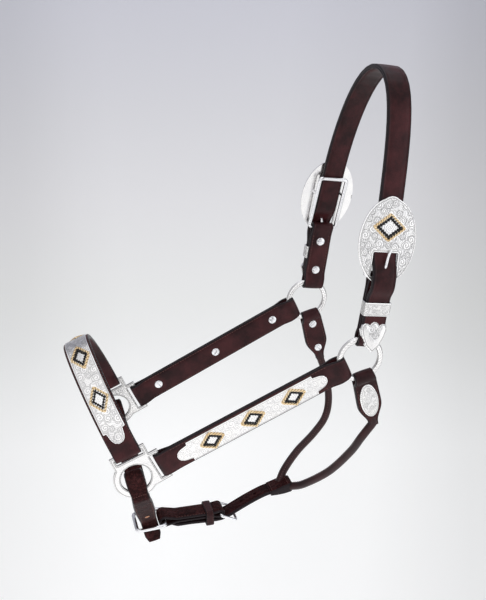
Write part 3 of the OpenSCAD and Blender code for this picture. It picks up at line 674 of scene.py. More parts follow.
def plate(loops, step, top, back, two_sided=False, bend=None):
    """A plate of the outline loops: top(u, v, distance) gives height and ink, back is its back's height."""
    rings = []
    for i, q in enumerate(loops):
        q = keep_corners(q, step)
        rings.append(q if (signed_area(q) > 0) == (i == 0) else q[::-1])
    lo, hi = rings[0].min(0), rings[0].max(0)
    us = np.arange(lo[0], hi[0] + step, step)
    vs = np.arange(lo[1], hi[1] + step, step * 0.866)
    grid = np.array([(u + (j % 2) * step / 2, v) for j, v in enumerate(vs) for u in us])
    ok = inside(grid, rings[0])
    for q in rings[1:]:
        ok &= ~inside(grid, q)
    grid = grid[ok]
    grid = grid[edge_distance(grid, rings) > 0.45 * step]
    pts, tris = filled(rings, grid)
    height, ink_and_painted_shade = top(pts[:, 0], pts[:, 1], edge_distance(pts, rings))
    n = len(pts)
    upper = np.column_stack([pts, height])
    if two_sided or bend is not None:
        low_pts, low_tris = pts, tris
        low = back - height if two_sided else np.full(n, back)
        low_ink = ink_and_painted_shade if two_sided else np.zeros(n)
    else:
        coarse = grid[::7]
        low_pts, low_tris = filled(rings, coarse[edge_distance(coarse, rings) > 1.5 * step])
        low, low_ink = np.full(len(low_pts), back), np.zeros(len(low_pts))
    lower = np.column_stack([low_pts, low])
    faces = [tuple(t) for t in tris] + [(t[0] + n, t[2] + n, t[1] + n) for t in low_tris]
    base = 0
    for q in rings:
        k = len(q)
        faces += [(base + i, base + i + n, base + (i + 1) % k + n, base + (i + 1) % k) for i in range(k)]
        base += k
    v = np.vstack([upper, lower])
    if bend is not None:
        v = bend(v)
    flat = [] if two_sided or bend is not None else range(len(tris), len(tris) + len(low_tris))
    return Geo().add(v, faces, 0, np.concatenate([ink_and_painted_shade, low_ink]), flat)


def scroll(u, v, pitch=10.0, seed=0.0):
    """Engraved scrollwork: leafy scrolls of mixed sizes, each with a curling stem, and strokes between."""
    row = pitch * 0.84
    best = np.full(np.shape(u), 1e9)
    centre_u, centre_v = np.zeros_like(best), np.zeros_like(best)
    hand, size = np.ones_like(best), np.ones_like(best)
    j0 = np.round(v / row)
    for dj in (-1, 0, 1):
        j = j0 + dj
        i0 = np.round((u - (j % 2) * pitch / 2) / pitch)
        for di in (-1, 0, 1):
            i = i0 + di
            cu = i * pitch + (j % 2) * pitch / 2 + 0.17 * pitch * np.sin(2.3 * i + 1.7 * j + seed)
            cv = j * row + 0.15 * pitch * np.sin(1.9 * i - 2.9 * j + seed)
            big = 1.0 + 0.26 * np.sin(4.1 * i + 2.2 * j + 1.3 * seed)
            d = np.hypot(u - cu, v - cv) / big
            near = d < best
            best, size = np.where(near, d, best), np.where(near, big, size)
            centre_u, centre_v = np.where(near, cu, centre_u), np.where(near, cv, centre_v)
            hand = np.where(near, np.where((i + j) % 2 == 0, 1.0, -1.0), hand)
    ang = np.arctan2(v - centre_v, u - centre_u) * hand
    edge = pitch * (0.34 + 0.13 * np.abs(np.sin(2.5 * ang + seed + size * 9)) ** 0.8)
    spacing = pitch * 0.2
    phase = best / spacing - ang / (2 * np.pi)
    stem = np.abs(phase - np.round(phase)) * spacing * size
    inner = (best < edge - 0.4) & (best > 0.3 * spacing)
    lines = np.clip(1.5 - stem / 0.34, 0, 1) * inner
    border = np.clip(1.5 - np.abs(best - edge) * size / 0.32, 0, 1)
    veins = np.clip(np.cos(15 * ang + seed) * 2 - 1.1, 0, 1) * (best > edge - 1.3) * (best < edge)
    strokes = np.clip(np.cos(3.4 * u + 2.6 * v + 2.2 * np.sin(0.9 * v)) * 1.6 - 0.5, 0, 1)
    ground = (0.04 + 0.5 * strokes) * np.clip((best - edge) / 0.3, 0, 1)
    return np.clip(np.maximum.reduce([lines, border, 0.8 * veins, ground]), 0, 1)


def engraved(height, depth=0.24, rim=1.5, pitch=10.0, seed=0.0, dome=0.0, keep_out=None, bevel=0.5,
             dark=0.85):
    """A height function: a plain raised rim, a cut line inside it, and scrollwork in the field."""
    def top(u, v, d):
        field = np.clip((d - rim - 0.5) / 0.5, 0, 1)
        if keep_out is not None:
            field = field * keep_out(u, v)
        cut = scroll(u, v, pitch, seed) * field
        line = np.clip(1.3 - np.abs(d - rim) / 0.42, 0, 1)
        ink_and_painted_shade = np.clip(np.maximum(cut, 1.15 * line), 0, 1.15)
        edge = np.clip(1 - d / bevel, 0, 1) ** 2 * bevel * 0.8
        return height + dome * np.clip(d / 8.0, 0, 1) - edge - depth * ink_and_painted_shade, ink_and_painted_shade * dark
    return top


def rhombus(l, w, inset=0.0):
    k = 1 - 2 * inset / w
    return np.array([(-l / 2 * k, 0), (0, -w / 2 * k), (l / 2 * k, 0), (0, w / 2 * k)])


ROPE_R, ROPE_TWIST, STRANDS, ROPE_SIDES, ROPE_STEP, ROPE_LIFT = 1.3, 3.1, 2, 12, 0.3, 0.6


def rope(corners):
    """A twisted rope laid along a closed line in the plane: strands show as lobes that wind round it, with
    painted shade in the gaps between them.
    """
    path = resample(rounded_corners(np.column_stack([corners, np.zeros(len(corners))]), 1.0), ROPE_STEP, True)
    n = len(path)
    windings = max(1, round(n * ROPE_STEP / (ROPE_TWIST * STRANDS)))
    t = tangents(path, True)
    up = np.array([0, 0, 1.0])
    side = np.cross(t, up)
    th = 2 * np.pi * np.arange(ROPE_SIDES) / ROPE_SIDES
    verts, ink_and_painted_shade = [], []
    for i in range(n):
        spin = 2 * np.pi * windings * i / n
        lobe = np.abs(np.cos(STRANDS * (th - spin) / 2)) ** 0.8
        r = ROPE_R * (0.52 + 0.54 * lobe)
        # painted shade: the colour is darkened in the gaps between the strands
        ink_and_painted_shade.append(np.clip(1.35 - 1.7 * lobe, 0, 1))
        out, rise = (r * np.cos(th))[:, None], (r * np.sin(th))[:, None]
        verts.append(path[i] + up * ROPE_LIFT + out * side[i] + rise * up)
    return Geo().add(np.concatenate(verts), quads(n, ROPE_SIDES, True), 0, np.concatenate(ink_and_painted_shade))


def gem(geo, centre, size, angle, height):
    """A faceted square bead, its table up."""
    levels = [(1.0, -0.6), (1.0, 0.62), (0.6, 0.95), (0.0, 1.0)]
    verts, faces = [], []
    for k, (r, z) in enumerate(levels[:3]):
        for q in range(4):
            th = angle + math.pi / 2 * q
            x, y = size * r * math.cos(th), size * r * math.sin(th)
            verts.append((centre[0] + x, centre[1] + y, height * z))
    verts.append((centre[0], centre[1], height * levels[3][1]))
    for k in range(2):
        for q in range(4):
            m = (q + 1) % 4
            faces.append((k * 4 + q, k * 4 + m, k * 4 + 4 + m, k * 4 + 4 + q))
    for q in range(4):
        faces.append((8 + q, 8 + (q + 1) % 4, 12))
    faces.append((3, 2, 1, 0))
    geo.add(verts, faces)


BEAD_RISE = 1.6


def bead_row(corners, per_side, size):
    """Beads along a diamond: bigger ones on its corners, and every other one a little higher."""
    geo = Geo()
    c = np.asarray(corners, float)
    for i in range(len(c)):
        a, b = c[i], c[(i + 1) % len(c)]
        ang = math.atan2(b[1] - a[1], b[0] - a[0])
        for k in range(per_side):
            p = a + (b - a) * k / per_side
            gem(geo, p, size * (1.12 if k == 0 else 1.0), ang, BEAD_RISE * (1.0 if k % 2 else 1.06))
    return geo


def lozenge(l, w, inset, rise):
    """The bright silver lozenge in the middle of a diamond, cut with a curling leaf."""
    def top(u, v, d):
        r = np.hypot(u, v)
        curl = np.abs(np.sin(1.5 * r - np.arctan2(v, u) * 1.0))
        cut = np.clip(1 - curl / 0.35, 0, 1) * np.clip((d - 0.5) / 0.4, 0, 1)
        return rise - 0.5 * np.clip(1 - d / 0.9, 0, 1) - 0.16 * cut, 0.75 * cut
    return plate([rhombus(l, w, inset)], 0.45, top, -0.4)


def diamond_parts(l, w, per_side, size):
    """Rope, beads and lozenge of one diamond, in its own plane with its length along X."""
    beads = bead_row(rhombus(l, w, 2.6 + 0.8 * size), per_side, size)
    return rope(rhombus(l, w, 0.5)), beads, lozenge(l, w, 3.0 + 0.8 * size, 0.45)


def set_diamonds(parts, plate_geo, spots):
    """Sets a diamond flat on a plate at each spot: rope and beads apart, the lozenges in the plate's mesh."""
    ropes, beads = Geo(), Geo()
    for spot in spots:
        for source, target in zip(parts, (ropes, beads, plate_geo)):
            target.extend(source, spot)
    return ropes, beads


def set_plate(prefix, rope_node, matrix, plate_geo, ropes, beads):
    """The silver, rope and beads of a decorated plate, on both sides."""
    both(f"{prefix}_plate_silver", plate_geo, f"{prefix}_plate", [SILVER], matrix)
    both(f"{prefix}_rope_gold", ropes, rope_node, [GOLD], matrix)
    both(f"{prefix}_bead_black", beads, f"{prefix}_beads", [BEAD], matrix)


# ---- screws


SCREW_R, SCREW_RISE = 4.8, 1.35


def screw_head(geo, matrix, radius=SCREW_R):
    """A slotted screw head, domed, with a fine turned rim; its axis is local Z, its seat at z = 0."""
    circle = np.array(arc(0, 0, radius, 0, 352.5, 7.5))

    def top(u, v, d):
        r = np.hypot(u, v)
        dome = SCREW_RISE - 0.55 * (r / radius) ** 2 - np.clip(1 - d / 0.5, 0, 1) ** 2 * 0.45
        slot = np.clip(1.5 - np.abs(v) / 0.42, 0, 1) * (r < radius - 0.3)
        ring = np.clip(1 - np.abs(r - radius * 0.78) / 0.22, 0, 1)
        return dome - 0.75 * slot - 0.08 * ring, slot * 0.8
    geo.extend(plate([circle], 0.5, top, 0.0), matrix)


# ---- the crown strap

# half thickness of one ply and of a doubled strap
HALF_PLY, HALF_T = 1.3, 2.6
# half width of the crown strap, and of the cheek straps and the noseband
CROWN_HALF, STRAP_HALF = 12.5, 14.0
PLATE_IN, PLATE_OUT = 6.0, 7.6
BILLET_END, BILLET_TURN, TIP_SLANT, CHAPE_HALF = 14.0, 45.0, 9.0, 3.2
BUCKLE_TILT = math.radians(BUCKLE_LEAN)
BILLET_T = CHAPE_HALF + 0.8 + HALF_T
OVER_T = PLATE_OUT + 0.4 + HALF_T
UNDER_T = PLATE_IN - 0.4 - HALF_T


def smooth(s):
    c = min(1.0, max(0.0, s))
    return c * c * (3 - 2 * c)


def leg_point(t, h):
    return (-RING_Y - t, h)


def buckle_point(t, h):
    return leg_point(t * math.cos(BUCKLE_TILT) - h * math.sin(BUCKLE_TILT),
                     BAR_H + h * math.cos(BUCKLE_TILT) + t * math.sin(BUCKLE_TILT))


def billet_out(h):
    if h < BILLET_TURN:
        return BILLET_T + (BILLET_TURN - h) * math.tan(math.radians(TIP_SLANT))
    return BILLET_T + (OVER_T + 0.9 - BILLET_T) * smooth((h - 69) / 13)


def bezier(a, b, c, d, t):
    a, b, c, d = (np.array(q, float) for q in (a, b, c, d))
    return (1 - t) ** 3 * a + 3 * t * (1 - t) ** 2 * b + 3 * t * t * (1 - t) * c + t ** 3 * d


def arch(start, crest):
    """Half the crown's arch, from the top of a leg to the crest."""
    s = 1 if start[0] > 0 else -1
    rise = (start[0] - 0.145 * s * 60, start[1] + 60)
    return [bezier(start, rise, (crest[0] + s * 49, crest[1]), crest, i / 12) for i in range(12)]


billet_heights = (BILLET_END + 0.4, 20, 30, 42, 44, 46, 56, 68, 71, 74, 77, 80, 83)
near_leg = [leg_point(billet_out(h), h) for h in billet_heights]
near_leg += [buckle_point(OVER_T + (UNDER_T - OVER_T) * smooth((h - 2) / 21), h) for h in range(-2, 26, 3)]
near_leg += [buckle_point(UNDER_T, 40)]
leg_top = buckle_point(UNDER_T, 62)
crest = (-12.0, 284.3)
off_top = (-leg_top[0], leg_top[1])
crown_yz = near_leg + [tuple(q) for q in arch(leg_top, crest)] + [crest]
crown_yz += [tuple(q) for q in arch(off_top, crest)[::-1]] + [(-y, z) for y, z in near_leg[::-1]]
crown_path = resample([(0, y, z) for y, z in crown_yz], 2.4, soften=3.2)
crown_w = np.interp(crown_path[:, 2], [14, 20, 29, 35.6], [0.9, 6.2, 10.6, CROWN_HALF])
crown = ribbon(crown_path, (1, 0, 0), crown_w, HALF_T)
on_show = crown_path[:, 2] > 38
seam_rows(crown[0], crown, crown_w, HALF_T, on_show, faces=(1, -1))
side_flip = np.diag([1.0, -1, 1, 1])
tongue_hole = BUCKLE @ shift(0, -UNDER_T, 31) @ turn("x", 90)
spare_hole = BUCKLE @ shift(0, -UNDER_T, 45) @ turn("x", 90)
emit("crown_strap_leather", crown[0], "crown_strap", [HIDE, EDGE, THREAD], CROWN,
     holes=[(tongue_hole, 2.1, 6), (side_flip @ tongue_hole, 2.1, 6), (spare_hole, 1.3, 6),
            (side_flip @ spare_hole, 1.3, 6)])

# ---- folded straps round rings and bars


# radius of the ply's middle line round an upper ring's wire and round a nose ring's bar
LOOP, BAR_LOOP = 5.0, 3.2
FOLD_SOFTEN = 1.2


def fold(name, cad, matrix, profile, widths, across, stitch, half=HALF_PLY, closed=True, step=1.6, inset=3.0,
         sides=True, extra=None, sign=1, hide=HIDE):
    """A strip folded round what it holds: profile is the middle line of its ply, widths its half width."""
    p = resample(profile, step, closed, FOLD_SOFTEN)
    w = widths(p)
    made = ribbon(p, across, w, half, closed=closed, seam=False, inset=inset)
    seam_rows(made[0], made, w, half, stitch(p), faces=(sign,), inset=inset)
    if extra is not None:
        extra(made[0])
    if sides:
        both(name, made[0], cad, [hide, EDGE, THREAD], matrix)
    else:
        emit(name, made[0], cad, [hide, EDGE, THREAD], matrix)


# crown chapes: local X across, Y outward is negative, Z up
chape_run = 1.9
chape = [(0, y, z) for z, y in arc(20.3, 0, LOOP, 90, 270)]
chape += [(0, -LOOP, 23), (0, -4.3, 27), (0, -chape_run, 33), (0, -chape_run, 80)]
chape += [(0, y, z) for z, y in arc(BAR_H, 0, 3.95, -110, 110)]
chape += [(0, chape_run, 80), (0, chape_run, 33), (0, 4.3, 27), (0, LOOP, 23)]
fold("crown_chape_leather", "crown_chape", NEAR_LEG, chape,
     lambda p: np.interp(p[:, 2], [12, 28], [11.5, CROWN_HALF]), (1, 0, 0),
     stitch=lambda p: (p[:, 2] > 33) & (p[:, 2] < 82), sign=-1)

# cheek straps
cheek_bar = CHEEK_L - NOSE_BAR
BAR_Y = -NOSE_BAR * (RING_Y - EYE_Y) / CHEEK_L
cheek = [(x, y, 0) for x, y in arc(20.3, 0, LOOP, 90, 270)]
cheek += [(23, -LOOP, 0), (27, -4.3, 0), (38, -HALF_PLY, 0), (cheek_bar - 15, -HALF_PLY, 0),
          (cheek_bar - 5, BAR_Y - BAR_LOOP, 0)]
cheek += [(x, y, 0) for x, y in arc(cheek_bar, BAR_Y, BAR_LOOP, -90, 90)]
cheek += [(cheek_bar - 5, BAR_Y + BAR_LOOP, 0), (cheek_bar - 15, HALF_PLY, 0), (38, HALF_PLY, 0),
          (27, 4.3, 0), (23, LOOP, 0)]
fold("cheek_leather", "cheek_strap", CHEEK, cheek,
     lambda p: np.interp(p[:, 0], [13, 28], [11.3, STRAP_HALF]), (0, 0, 1),
     stitch=lambda p: (p[:, 0] > 34) & (p[:, 0] < cheek_bar - 12), step=2.2, sign=1, inset=2.2)

# throat tabs, narrowing into the rolled straps
tab_u = list(range(56, 81, 3))
tab_w = [5 + 8.3 * (0.5 + 0.5 * math.cos(math.pi * (u - 56) / 24)) for u in tab_u]


def tab_width(p):
    return np.interp(p[:, 0], [15, 28, 50] + tab_u, [9.8, 12.6, 13.3] + tab_w)


tab = [(82, -1.6, 0), (74, -1.5, 0), (60, -1.3, 0), (29, -1.3, 0), (25, -4.3, 0), (23, -LOOP, 0)]
tab += [(x, y, 0) for x, y in arc(21.2, 0, LOOP, 270, 90)]
tab += [(23, LOOP, 0), (25, 4.3, 0), (29, 1.3, 0), (60, 1.3, 0), (74, 1.5, 0), (82, 1.6, 0)]
fold("throat_tab_leather", "throat_tab", TAB, tab, tab_width, (0, 0, 1), closed=False,
     stitch=lambda p: (p[:, 0] > 33) & (p[:, 0] < 72), sign=-1, inset=2.4)

# chin straps: the ply's middle line in the Y-Z plane, up the inner side, over the ring and down the outer
EYE_LOOP = 4.1
chin = [(0, -10.7, -130), (0, -10.7, -105), (0, -12.8, -99.2), (0, -70.8, -32.2), (0, -EYE_Y + EYE_LOOP, -22)]
chin += [(0, y, z) for y, z in arc(-EYE_Y, 3.6, EYE_LOOP, 0, 180)]
chin += [(0, -EYE_Y - EYE_LOOP, -22), (0, -EYE_Y - 3.2, -26.3), (0, -14.7, -101.2), (0, -13.35, -106.5),
         (0, -13.35, -130)]


def chin_bar_tack(geo):
    """The row of stitches across the front of a chin strap, under the nose ring's eye."""
    front_y = -EYE_Y - EYE_LOOP - HALF_PLY - 0.1
    line = np.array([(x, front_y, -19.0) for x in np.linspace(-7.4, 7.4, 9)])
    stitches(geo, line, np.tile([0, -1.0, 0], (len(line), 1)), pitch=2.4, length=1.7)


fold("chin_leather", "chin_strap", CHIN, chin,
     lambda p: np.interp(p[:, 2], [-130, -122, -95, -62, -40, -19, -8, 4, 8],
                         [6.6, 9.2, 9.4, 10.9, 10.6, 8.7, 9.9, 9.8, 8.6]), (1, 0, 0), closed=False,
     stitch=lambda p: (p[:, 2] < -38) & (p[:, 2] > -97), sign=1, inset=2.4, hide=CREASED_SHADED, extra=chin_bar_tack)

# jaw chape, in the plane of symmetry: local X from the chin ring's rear bar to the jaw buckle's bar
REAR, FRONT = np.array([-239.4, -495.0]), np.array([-272.0, -496.5])
JAW_BAR, JAW_END = np.array([-174.0, -496.0]), np.array([-156.0, -505.0])
run = JAW_BAR - REAR
run_l = float(np.linalg.norm(run))
JAW = shift(REAR[0], 0, REAR[1]) @ turn("y", -math.degrees(math.atan2(run[1], run[0])))
jaw = [(x, 0, z) for x, z in arc(0, 0, 5.5, 60, 300)] + [(15, 0, -1.8), (run_l - 10, 0, -1.8)]
jaw += [(x, 0, z) for x, z in arc(run_l, 0, 3.6, -100, 100)] + [(run_l - 10, 0, 1.8), (15, 0, 1.8)]
fold("jaw_chape_leather", "jaw_chape", JAW, jaw, lambda p: np.full(len(p), 11.0), (0, 1, 0), half=1.3,
     stitch=lambda p: (p[:, 0] > 12) & (p[:, 0] < run_l - 9), sides=False, sign=-1, inset=2.6, hide=CREASED_SHADED)

# jaw strap
JAW_HALF_T = 1.8
jaw_line = [(-102, -478.2), (-118, -480), (-138, -488), (-155, -496.5), (-164, -501.2), (-174, -504),
            (-188, -504), (-208, -502.8), (-232, -502.4)]
jaw_pts = resample([(q[0], 0, q[1]) for q in (curve(jaw_line, s) for s in np.linspace(0, 8, 65))], 2.0)
jaw_w = 10 * np.clip((jaw_pts[:, 0] + 233.5) / 9.0, 0.25, 1) ** 0.5
made = ribbon(jaw_pts, (0, 1, 0), jaw_w, JAW_HALF_T)
seam_rows(made[0], made, jaw_w, JAW_HALF_T, jaw_pts[:, 0] > -220, faces=(1, -1), inset=2.2)
emit("jaw_strap_leather", made[0], "jaw_strap", [CREASED_SHADED, EDGE, THREAD],
     holes=[(shift(x, 0, z) @ turn("y", slope), 1.8, 5)
            for x, z, slope in ((-148, -492.9, 24), (-131, -484.9, 22))])

# jaw keeper
KEEPER_HALF_W, KEEPER_HALF_T = 4.5, 1.0
keep_z = (JAW_BAR[1] + CHAPE_HALF + 0.2 + 0.8, -504 - JAW_HALF_T - 0.8)
corners = [(JAW_BAR[0] - 13, s * 12.8, keep_z[0 if k else 1] + (1 if k else -1))
           for s, k in ((-1, 1), (1, 1), (1, 0), (-1, 0))]
keeper_path = resample(rounded_corners(corners, 3.0), 1.2, True)
made = ribbon(keeper_path, (1, 0, 0), KEEPER_HALF_W, KEEPER_HALF_T, closed=True, seam=False, inset=1.5)
seam_rows(made[0], made, KEEPER_HALF_W, KEEPER_HALF_T, np.ones(len(keeper_path), bool), faces=(-1, 1),
          inset=1.4, pitch=2.8, length=1.9, radius=0.28)
emit("jaw_keeper_leather", made[0], "jaw_keeper", [HIDE, EDGE, THREAD])

# ---- rolled throat straps and their wrap

# radius of a roll, and the spacing of points along it
ROLL_R, ROLL_STEP = 4.5, 1.8
ROLL = {"near": [(-23.6, -RING_Y, -356.7), (-35, -81, -375), (-41.6, -68, -400), (-57, -46, -436),
                 (-77, -20, -466), (-88, -7, -475.5), (-98, -5, -478)],
        "off": [(-23.6, RING_Y, -356.7), (-17, 79, -380), (-15.6, 69, -408), (-23, 59, -428), (-43, 43, -439),
                (-71, 23, -448), (-91, 9, -461), (-99, 5, -475)]}
for side, route in ROLL.items():
    head = place(TAB, [(68, 0, 0)])[0] * ([1, 1, 1] if side == "near" else [1, -1, 1])
    pts = [head] + [curve(route, s) for s in np.linspace(0, len(route) - 1, 60)]
    path = resample(pts, ROLL_STEP, soften=3.0)
    along = np.arange(len(path)) * ROLL_STEP
    radius = ROLL_R * np.clip(0.45 + along / 16.0, 0, 1)
    t = tangents(path, False)
    geo = tube(path, radius, sides=22, start_side=(0, -1 if side == "near" else 1, 0))
    # two rows of stitches along the roll's inner side
    inner = np.array([0, 1.0 if side == "near" else -1.0, 0.25])
    normal = unit(inner - t * (t @ inner)[:, None])
    crossed = unit(np.cross(t, normal))
    for off_line in (-1.5, 1.5):
        tilt = unit(normal * math.cos(off_line * 0.3) + crossed * math.sin(off_line * 0.3))
        ok = along > 14
        stitches(geo, (path + tilt * (radius[:, None] - 0.15))[ok], tilt[ok], mat=1, pitch=3.0, length=2.0)
    emit(f"{side}_throat_roll_leather", geo, f"{side}_throat_roll", [ROLLED, THREAD])

wrap_line = [(-86, 0, -474.5), (-92, 0, -476), (-98, 0, -477.2), (-106, 0, -478.6), (-113.5, 0, -479.6)]
wrap_path = resample(wrap_line, 1.2, soften=2.0)
x = wrap_path[:, 0]
wrap_w = np.interp(-x, [86, 90, 98, 106, 113.5], [9.0, 10.6, 10.8, 11.2, 10.8])
wrap_h = np.interp(-x, [86, 90, 98, 106, 113.5], [4.4, 5.6, 5.2, 3.9, 2.9])
made = ribbon(wrap_path, (0, 1, 0), wrap_w, wrap_h, seam=False, inset=2.4)
for cut in (-90.5, -111.0):
    for s in (1, -1):
        i = int(np.argmin(np.abs(x - cut)))
        ys = np.linspace(-wrap_w[i] + 2.2, wrap_w[i] - 2.2, 12)
        line = np.array([wrap_path[i] + (0, y, 0) for y in ys]) + made[3][i] * s * (wrap_h[i] + 0.12)
        stitches(made[0], line, np.repeat([made[3][i] * s], 12, 0), pitch=2.6, length=1.8)
emit("throat_wrap_leather", made[0], "throat_wrap", [CREASED_SHADED, EDGE, THREAD])

# ---- noseband

# the crest of the noseband's middle line, and the noseband's offset from the nose rings' eyes
NOSE_CREST, NOSE_X = 127.0, 4.0


def nose_half(i):
    return bezier((-EYE_Y, NOSE_BAR + 10), (-EYE_Y, NOSE_BAR + 42), (-36.0, NOSE_CREST), (0.0, NOSE_CREST), i)


def bar_turn(y):
    """The ply's middle line round the lower half of a nose ring's bar."""
    return [(0, y + BAR_LOOP * math.cos(a), NOSE_BAR + BAR_LOOP * math.sin(a))
            for a in np.radians(np.arange(0, -181, -18))]


nose_yz = [tuple(nose_half(i)) for i in np.linspace(0, 1, 33)]
nose_yz += [(-y, z) for y, z in nose_yz[-2::-1]]
full = np.array([(0, y, z) for y, z in nose_yz])
t = tangents(full, False)
outward = np.cross(t, (1.0, 0, 0))
if outward[0][1] > 0:
    outward = -outward
loop_pts = [*(full + outward * HALF_PLY), *bar_turn(EYE_Y)]
loop_pts += [*(full - outward * HALF_PLY)[::-1], *bar_turn(-EYE_Y)]
p = resample(loop_pts, 2.0, True, 1.0) + [NOSE_X, 0, 0]
made = ribbon(p, (1, 0, 0), STRAP_HALF, HALF_PLY, closed=True, seam=False, inset=2.2)
outside = np.sign(np.median(np.einsum("ij,ij->i", made[3][:20], p[:20] - [NOSE_X, 0, 60])))
seam_rows(made[0], made, STRAP_HALF, HALF_PLY, p[:, 2] > NOSE_BAR + 14, faces=(outside,), inset=1.1)
emit("noseband_leather", made[0], "noseband", [HIDE, EDGE, THREAD], NOSE)

# the long plate, bent along the noseband: u is the distance along the middle line, v across
half_path = resample([nose_half(i) for i in np.linspace(0.0625, 1, 40)], 0.5)
plate_mid = np.vstack([half_path, (half_path * [-1, 1])[-2::-1]])
dist = distances(plate_mid)
dist -= dist[-1] / 2
plate_t = unit(np.gradient(plate_mid, axis=0))
plate_n = np.stack([-plate_t[:, 1], plate_t[:, 0]], 1)
NOSE_PLATE_L = float(dist[-1] - dist[0])
SILVER_T, SILVER_W = 1.2, 23.4


def bend_nose(v):
    """(along, across, height) to the nose frame."""
    yz = spread(plate_mid, v[:, 0], dist) + unit(spread(plate_n, v[:, 0], dist)) * (HALF_T + 0.05 + v[:, 2:3])
    return np.column_stack([NOSE_X + v[:, 1], yz])


def lobed_strip(l, w):
    """A strip whose ends step in with a square shoulder and finish in one big round lobe."""
    lobe = w * 0.30
    x0, x1 = l / 2 - 2 * lobe, l / 2 - lobe
    half = [(x0, w / 2), (x0 + 0.3, w * 0.37), (x1 + 0.9, w * 0.37 - 1.4)]
    half += arc(x1, 0, lobe, 62, -62, 8)
    half += [(x1 + 0.9, -w * 0.37 + 1.4), (x0 + 0.3, -w * 0.37), (x0, -w / 2)]
    left = [(-a, -b) for a, b in half]
    return np.array(half[::-1] + left[::-1])[::-1]


D_L, D_W = 28.0, 20.0


def clear_of(centres):
    """1 away from the diamonds and 0 under them."""
    def f(u, v):
        keep = np.ones_like(u)
        for c in centres:
            d = np.abs(u - c) / (D_L / 2 + 1.6) + np.abs(v) / (D_W / 2 + 1.3)
            keep = np.minimum(keep, np.clip((d - 1) * 12, 0, 1))
        return keep
    return f


nose_centres = []
for side, at in ((1, 0.44), (1, 0.8), (-1, 0.44), (-1, 0.7)):
    k = int(np.argmin(np.linalg.norm(plate_mid[:len(half_path)] - nose_half(at), axis=1)))
    nose_centres.append(side * dist[k])
band = plate([lobed_strip(NOSE_PLATE_L, SILVER_W)], 0.55,
             engraved(SILVER_T, keep_out=clear_of(nose_centres), pitch=9.2, rim=1.2, dark=0.66), 0.0,
             bend=bend_nose)
nose_ropes, nose_beads = Geo(), Geo()
strap_diamond = diamond_parts(D_L, D_W, 4, 1.55)
for c in nose_centres:
    for source, target in zip(strap_diamond, (nose_ropes, nose_beads, band)):
        v = np.concatenate(source.v) + [c, 0, SILVER_T]
        target.add(bend_nose(v), source.f, np.array(source.m), np.concatenate(source.ink_and_painted_shade))
emit("noseband_plate_silver", band, "noseband_plate", [SILVER], NOSE)
emit("noseband_rope_gold", nose_ropes, "noseband_ropes", [GOLD], NOSE)
emit("noseband_bead_black", nose_beads, "noseband_beads", [BEAD], NOSE)

# ---- cheek plates

# local plane of a cheek plate: X along the cheek, Y across, Z outward
CHEEK_FACE = CHEEK @ shift(CHEEK_MID, HALF_T + 0.05, -0.6) @ turn("x", -90)
centres = [-46.8, 0.0, 46.8]
strip = plate([lobed_strip(172.0, SILVER_W)], 0.5,
              engraved(SILVER_T, keep_out=clear_of(centres), pitch=9.2, seed=1.3, rim=1.2, dark=0.36), 0.0)
set_plate("cheek", "cheek_ropes", CHEEK_FACE, strip,
          *set_diamonds(strap_diamond, strip, [shift(c, 0, SILVER_T) for c in centres]))

# ---- oval buckle plates

# local plane of a buckle plate: X across, Y up, Z outward
BUCKLE_FACE = BUCKLE @ turn("x", 90) @ shift(0, 0, PLATE_IN)
OVAL_MID, OVAL_W, OVAL_H, LOBE_R = 36.0, 30.5, 43.0, 11
BD_L, BD_W, BD_H, BUCKLE_SILVER_T = 34.0, 27.0, 50.0, 1.6


def oval_outline():
    """An oval with a round lobe that rises a little over its top."""
    pts = []
    for a in np.radians(np.arange(0, 360, 3.0)):
        d = np.array([math.cos(a), math.sin(a)])
        r = 1 / math.hypot(d[0] / OVAL_W, d[1] / OVAL_H)
        c = np.array([0, OVAL_H - LOBE_R + 1.6])
        b = float(d @ c)
        disc = b * b - (c @ c - LOBE_R ** 2)
        if disc > 0:
            r = max(r, b + math.sqrt(disc))
        pts.append(d * r + [0, OVAL_MID])
    return np.array(pts)


opening = rounded_corners([(-13.5, 1.0, 0), (13.5, 1.0, 0), (13.5, 25.0, 0), (-13.5, 25.0, 0)], 1.2)[:, :2]


def buckle_clear(u, v):
    d = np.abs(u) / (BD_L / 2 + 1.6) + np.abs(v - BD_H) / (BD_W / 2 + 1.4)
    return np.clip((d - 1) * 12, 0, 1)


oval_plate = plate([oval_outline(), opening], 0.55,
                   engraved(BUCKLE_SILVER_T, keep_out=buckle_clear, pitch=9.6, seed=2.1, rim=1.6), 0.0)
set_plate("buckle", "buckle_rope", BUCKLE_FACE, oval_plate,
          *set_diamonds(diamond_parts(BD_L, BD_W, 5, 1.95), oval_plate, [shift(0, BD_H, BUCKLE_SILVER_T)]))

# buckle frames: a rounded wire rectangle with two studs that hold the plate
HUB = np.linspace(-2.3, 2.3, 7)
BUCKLE_HALF_W, STUD_H = 16, 40
top_t = PLATE_IN - 0.8 - 2 * HALF_T - 2.25
rect = rounded_corners([(-BUCKLE_HALF_W, 0, 0), (BUCKLE_HALF_W, 0, 0), (BUCKLE_HALF_W, -top_t, 60),
                        (-BUCKLE_HALF_W, -top_t, 60)], 3.2)
frame_geo = tube(resample(rect, 1.5, True), 2.2, True, 14)
for x in (-BUCKLE_HALF_W, BUCKLE_HALF_W):
    tube([(x, y, STUD_H) for y in (-PLATE_IN + 0.05, -PLATE_IN + 3.0, 0.6)], [1.9, 1.5, 1.5],
         geo=frame_geo, sides=12, start_side=(1, 0, 0))
both("buckle_frame_wire", frame_geo, "buckle_frame", [NICKEL], BUCKLE)

